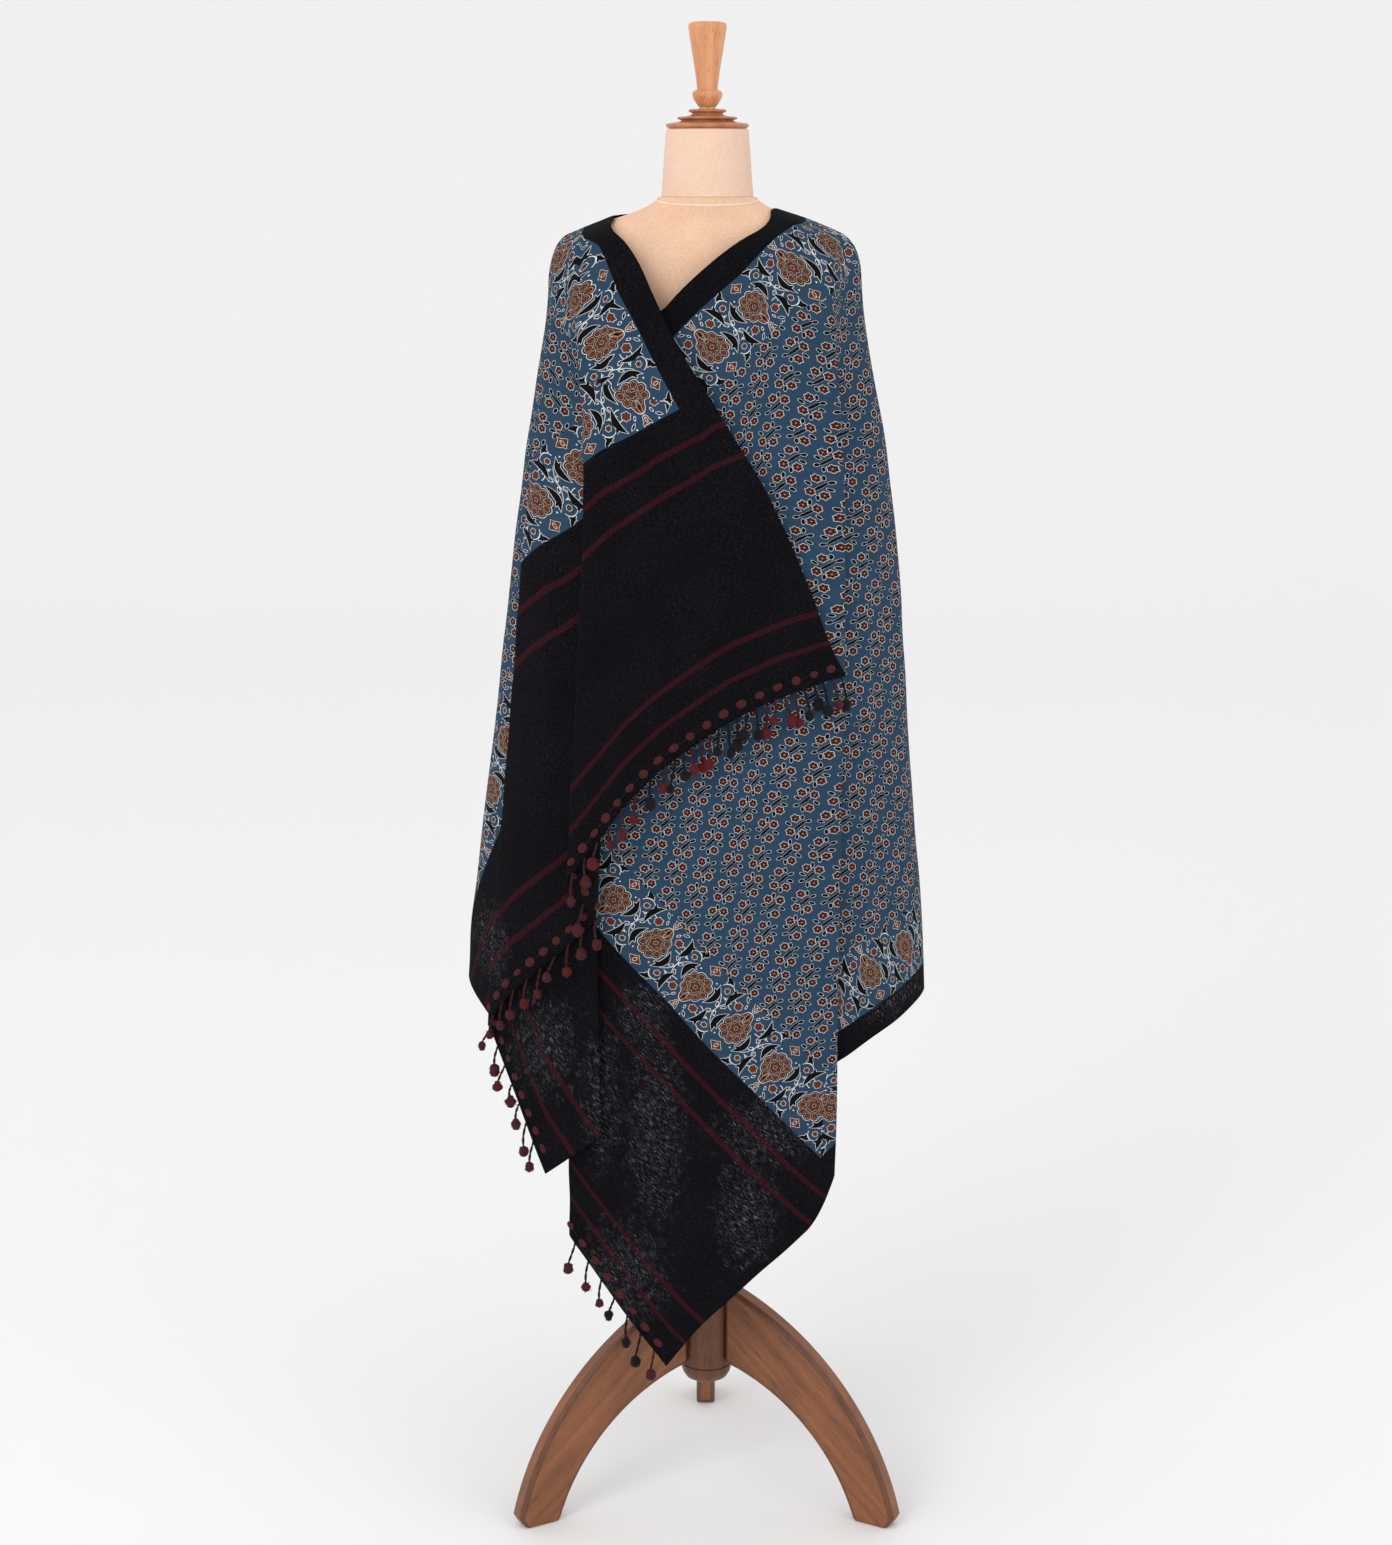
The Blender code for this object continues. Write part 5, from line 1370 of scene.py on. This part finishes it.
# %% Cap, washer and finial: radius and height
cap = [(0.0196, 1.6560), (0.0212, 1.6552), (0.0214, 1.6540), (0.0206, 1.6528), (0.0170, 1.6518),
       (0.0180, 1.6498), (0.0230, 1.6484), (0.0325, 1.6478), (0.0338, 1.6467), (0.0336, 1.6452),
       (0.0290, 1.6440), (0.0300, 1.6426), (0.0380, 1.6414), (0.0455, 1.6404), (0.0470, 1.6388),
       (0.0466, 1.6370), (0.0440, 1.6351)]
turned("turned_neck_cap", smooth_profile(cap, 2), cap_wood, "cap_wood", "neck_cap", ON_NECK)
washer = [(0.0088, 1.6583), (0.0095, 1.6578), (0.0095, 1.6564), (0.0088, 1.6560)]
turned("brass_ring", washer, brass, "brass", "washer", ON_NECK)
finial = [(0.0080, 1.7512), (0.0165, 1.7508), (0.0205, 1.7494), (0.0215, 1.7465), (0.0212, 1.7430),
          (0.0196, 1.7320), (0.0168, 1.7150), (0.0142, 1.6990), (0.0124, 1.6860), (0.0116, 1.6786),
          (0.0118, 1.6770), (0.0150, 1.6762), (0.0166, 1.6745), (0.0171, 1.6722), (0.0166, 1.6695),
          (0.0145, 1.6650), (0.0118, 1.6612), (0.0098, 1.6587)]
turned("turned_finial", smooth_profile(finial, 2), finial_wood, "finial_wood", "finial", ON_NECK)

# %% Pole and hub
POLE_RADIUS, POLE_TOP = 0.0145, 0.7497
HUB_RADIUS, HUB_TOP, GROOVE_Z = 0.0310, 0.300, 0.156
pole = [(POLE_RADIUS, POLE_TOP), (POLE_RADIUS, HUB_TOP + 0.0003)]
turned("walnut_pole", pole, hub_wood_painted_shade, "walnut", "pole")
hub = [(HUB_RADIUS - 0.006, HUB_TOP), (HUB_RADIUS, HUB_TOP - 0.006),
       (HUB_RADIUS, GROOVE_Z + 0.0010), (HUB_RADIUS - 0.0014, GROOVE_Z),
       (HUB_RADIUS, GROOVE_Z - 0.0010)]
hub += [(HUB_RADIUS * share, height) for share, height in (
    (0.985, 0.1500), (0.93, 0.1440), (0.82, 0.1385), (0.62, 0.1350), (0.35, 0.1336), (0.15, 0.133))]
turned("walnut_hub", hub, hub_wood_painted_shade, "walnut", "hub")

# %% [markdown]
# ## Three arched legs
#
# Each leg is sawn from a flat board: its outline is two arcs and a toe that stands flat on the
# floor. The long edges are rounded over, and the rounding carries painted shade: a darker copy
# of the walnut than the flat face.

# %% Legs
LEG_OUTER = [(0.0313, 0.263), (0.155, 0.192), (0.263, 0.014)]
LEG_INNER = [(0.0313, 0.163), (0.126, 0.118), (0.209, 0.000)]
LEG_TOE = (0.255, 0.000)
LEG_THICKNESS, LEG_LEAN, ARC_STEPS = 0.024, 50.0, 30
ROUNDING = {"width": 0.0056, "segments": 3, "limit_method": "ANGLE", "harden_normals": True,
            "angle_limit": math.radians(60), "material": 1}
LEG_TURNS = {"leg_left": -150.0, "leg_right": -30.0, "leg_back": 90.0}


def arc(points):
    """Points on the circle through three points: centre from equal distances, then even turns."""
    a, b, c = (np.array(point) for point in points)
    centre = np.linalg.solve(2 * np.array([b - a, c - a]), [b @ b - a @ a, c @ c - a @ a])
    first, last = (math.atan2(*(point - centre)[::-1]) for point in (a, c))
    turn = np.linspace(first, last, ARC_STEPS)
    return centre + np.linalg.norm(a - centre) * np.stack([np.cos(turn), np.sin(turn)], axis=-1)


def leg(node, turn):
    """Quads between the outer and the inner arc, both faces and the rim, turned about the pole."""
    loop = np.concatenate([arc(LEG_OUTER), [LEG_TOE], arc(LEG_INNER)[::-1]])
    count = len(loop)
    cosine, sine = math.cos(math.radians(turn)), math.sin(math.radians(turn))
    work = bmesh.new()
    rows = []
    for y in (-LEG_THICKNESS / 2, LEG_THICKNESS / 2):
        x, z = loop.T
        spots = np.stack([x * cosine - y * sine, x * sine + y * cosine, z], axis=-1) + POLE_PLACE
        row = [work.verts.new(spot) for spot in spots]
        for i in range(ARC_STEPS - 1):
            work.faces.new((row[i], row[i + 1], row[-2 - i], row[-1 - i]))
        work.faces.new(row[ARC_STEPS - 1:ARC_STEPS + 2])
        rows.append(row)
    for i in range(count):
        j = (i + 1) % count
        work.faces.new((rows[0][i], rows[0][j], rows[1][j], rows[1][i]))
    bmesh.ops.recalc_face_normals(work, faces=work.faces)
    mesh = bpy.data.meshes.new("walnut_" + node)
    work.to_mesh(mesh)
    work.free()
    finish = wood("oiled_walnut_" + node, "#a1643d", "#4d2b1a", 0.5, 0.1, turn, LEG_LEAN)
    piece = new_piece(mesh, finish, "walnut", node)
    mesh.materials.append(edge_wood_painted_shade)
    rounding = piece.modifiers.new("rounded_edges", "BEVEL")
    for setting, value in ROUNDING.items():
        setattr(rounding, setting, value)
    print(piece.name, "stands", round(float(np.hypot(*LEG_TOE)), 3), "m from the pole")


for node, turn in LEG_TURNS.items():
    leg(node, turn)

# %% [markdown]
# ## Floor and soft studio light
#
# The dress form stands on a plain pale floor that curves up behind it, so no horizon shows.
# One large light from the upper left and a weaker one from the right give the soft shadows
# of a studio, and the pale surroundings fill the rest.

# %% Studio
FLOOR_HALF, FLOOR_FRONT, FLOOR_BACK = 14.0, -6.0, 6.0
SWEEP_RADIUS, WALL_TOP = 3.0, 14.0

turn = np.linspace(0.0, np.pi / 2, 24)
curve = np.stack([FLOOR_BACK + SWEEP_RADIUS * np.sin(turn),
                  SWEEP_RADIUS * (1 - np.cos(turn))], axis=-1)
profile = np.concatenate([[[FLOOR_FRONT, 0.0]], curve, [[FLOOR_BACK + SWEEP_RADIUS, WALL_TOP]]])
grid = np.zeros((2, len(profile), 3))
grid[:, :, 0] = [[FLOOR_HALF], [-FLOOR_HALF]]
grid[:, :, 1:] = profile
paper, paper_shader, paper_place = material_named("pale_studio_paper", Roughness=0.95)
cloud = add(paper_place.tree, "TexNoise", Vector=paper_place, Scale=0.6)
paint(paper_shader, add(cloud.tree, "MixRGB", cloud * 0.2, linear("#f5f5f5"), linear("#f2f2f2")))
floor_mesh = mesh_from_grid("studio_floor", grid)
floor_mesh.materials.append(paper)
floor_mesh.shade_smooth()
new_object("studio_floor", floor_mesh)


def studio_light(name, place, target, width, power):
    """A square area light, turned to look at its target."""
    data = bpy.data.lights.new(name, "AREA")
    data.shape, data.size, data.energy = "SQUARE", width, power
    lamp = new_object(name, data)
    lamp.location = place
    towards = np.array(target) - np.array(place)
    lamp.rotation_euler = (math.acos(-towards[2] / np.linalg.norm(towards)), 0.0,
                           math.atan2(towards[1], towards[0]) - math.pi / 2)


studio_light("key_light", (-2.2, -3.2, 3.2), (0.0, 0.0, 1.1), 1.8, 42.0)
studio_light("fill_light", (3.0, -2.6, 2.0), (0.0, 0.0, 1.0), 2.2, 12.0)
world = bpy.data.worlds.new("studio_surroundings")
bpy.context.scene.world = world
world.use_nodes = True
surroundings = world.node_tree.nodes["Background"]
surroundings.inputs["Color"].default_value = linear("#fafafa")
surroundings.inputs["Strength"].default_value = 1.0
bpy.context.scene.view_settings.view_transform = "Standard"
print("two studio lights and pale surroundings")
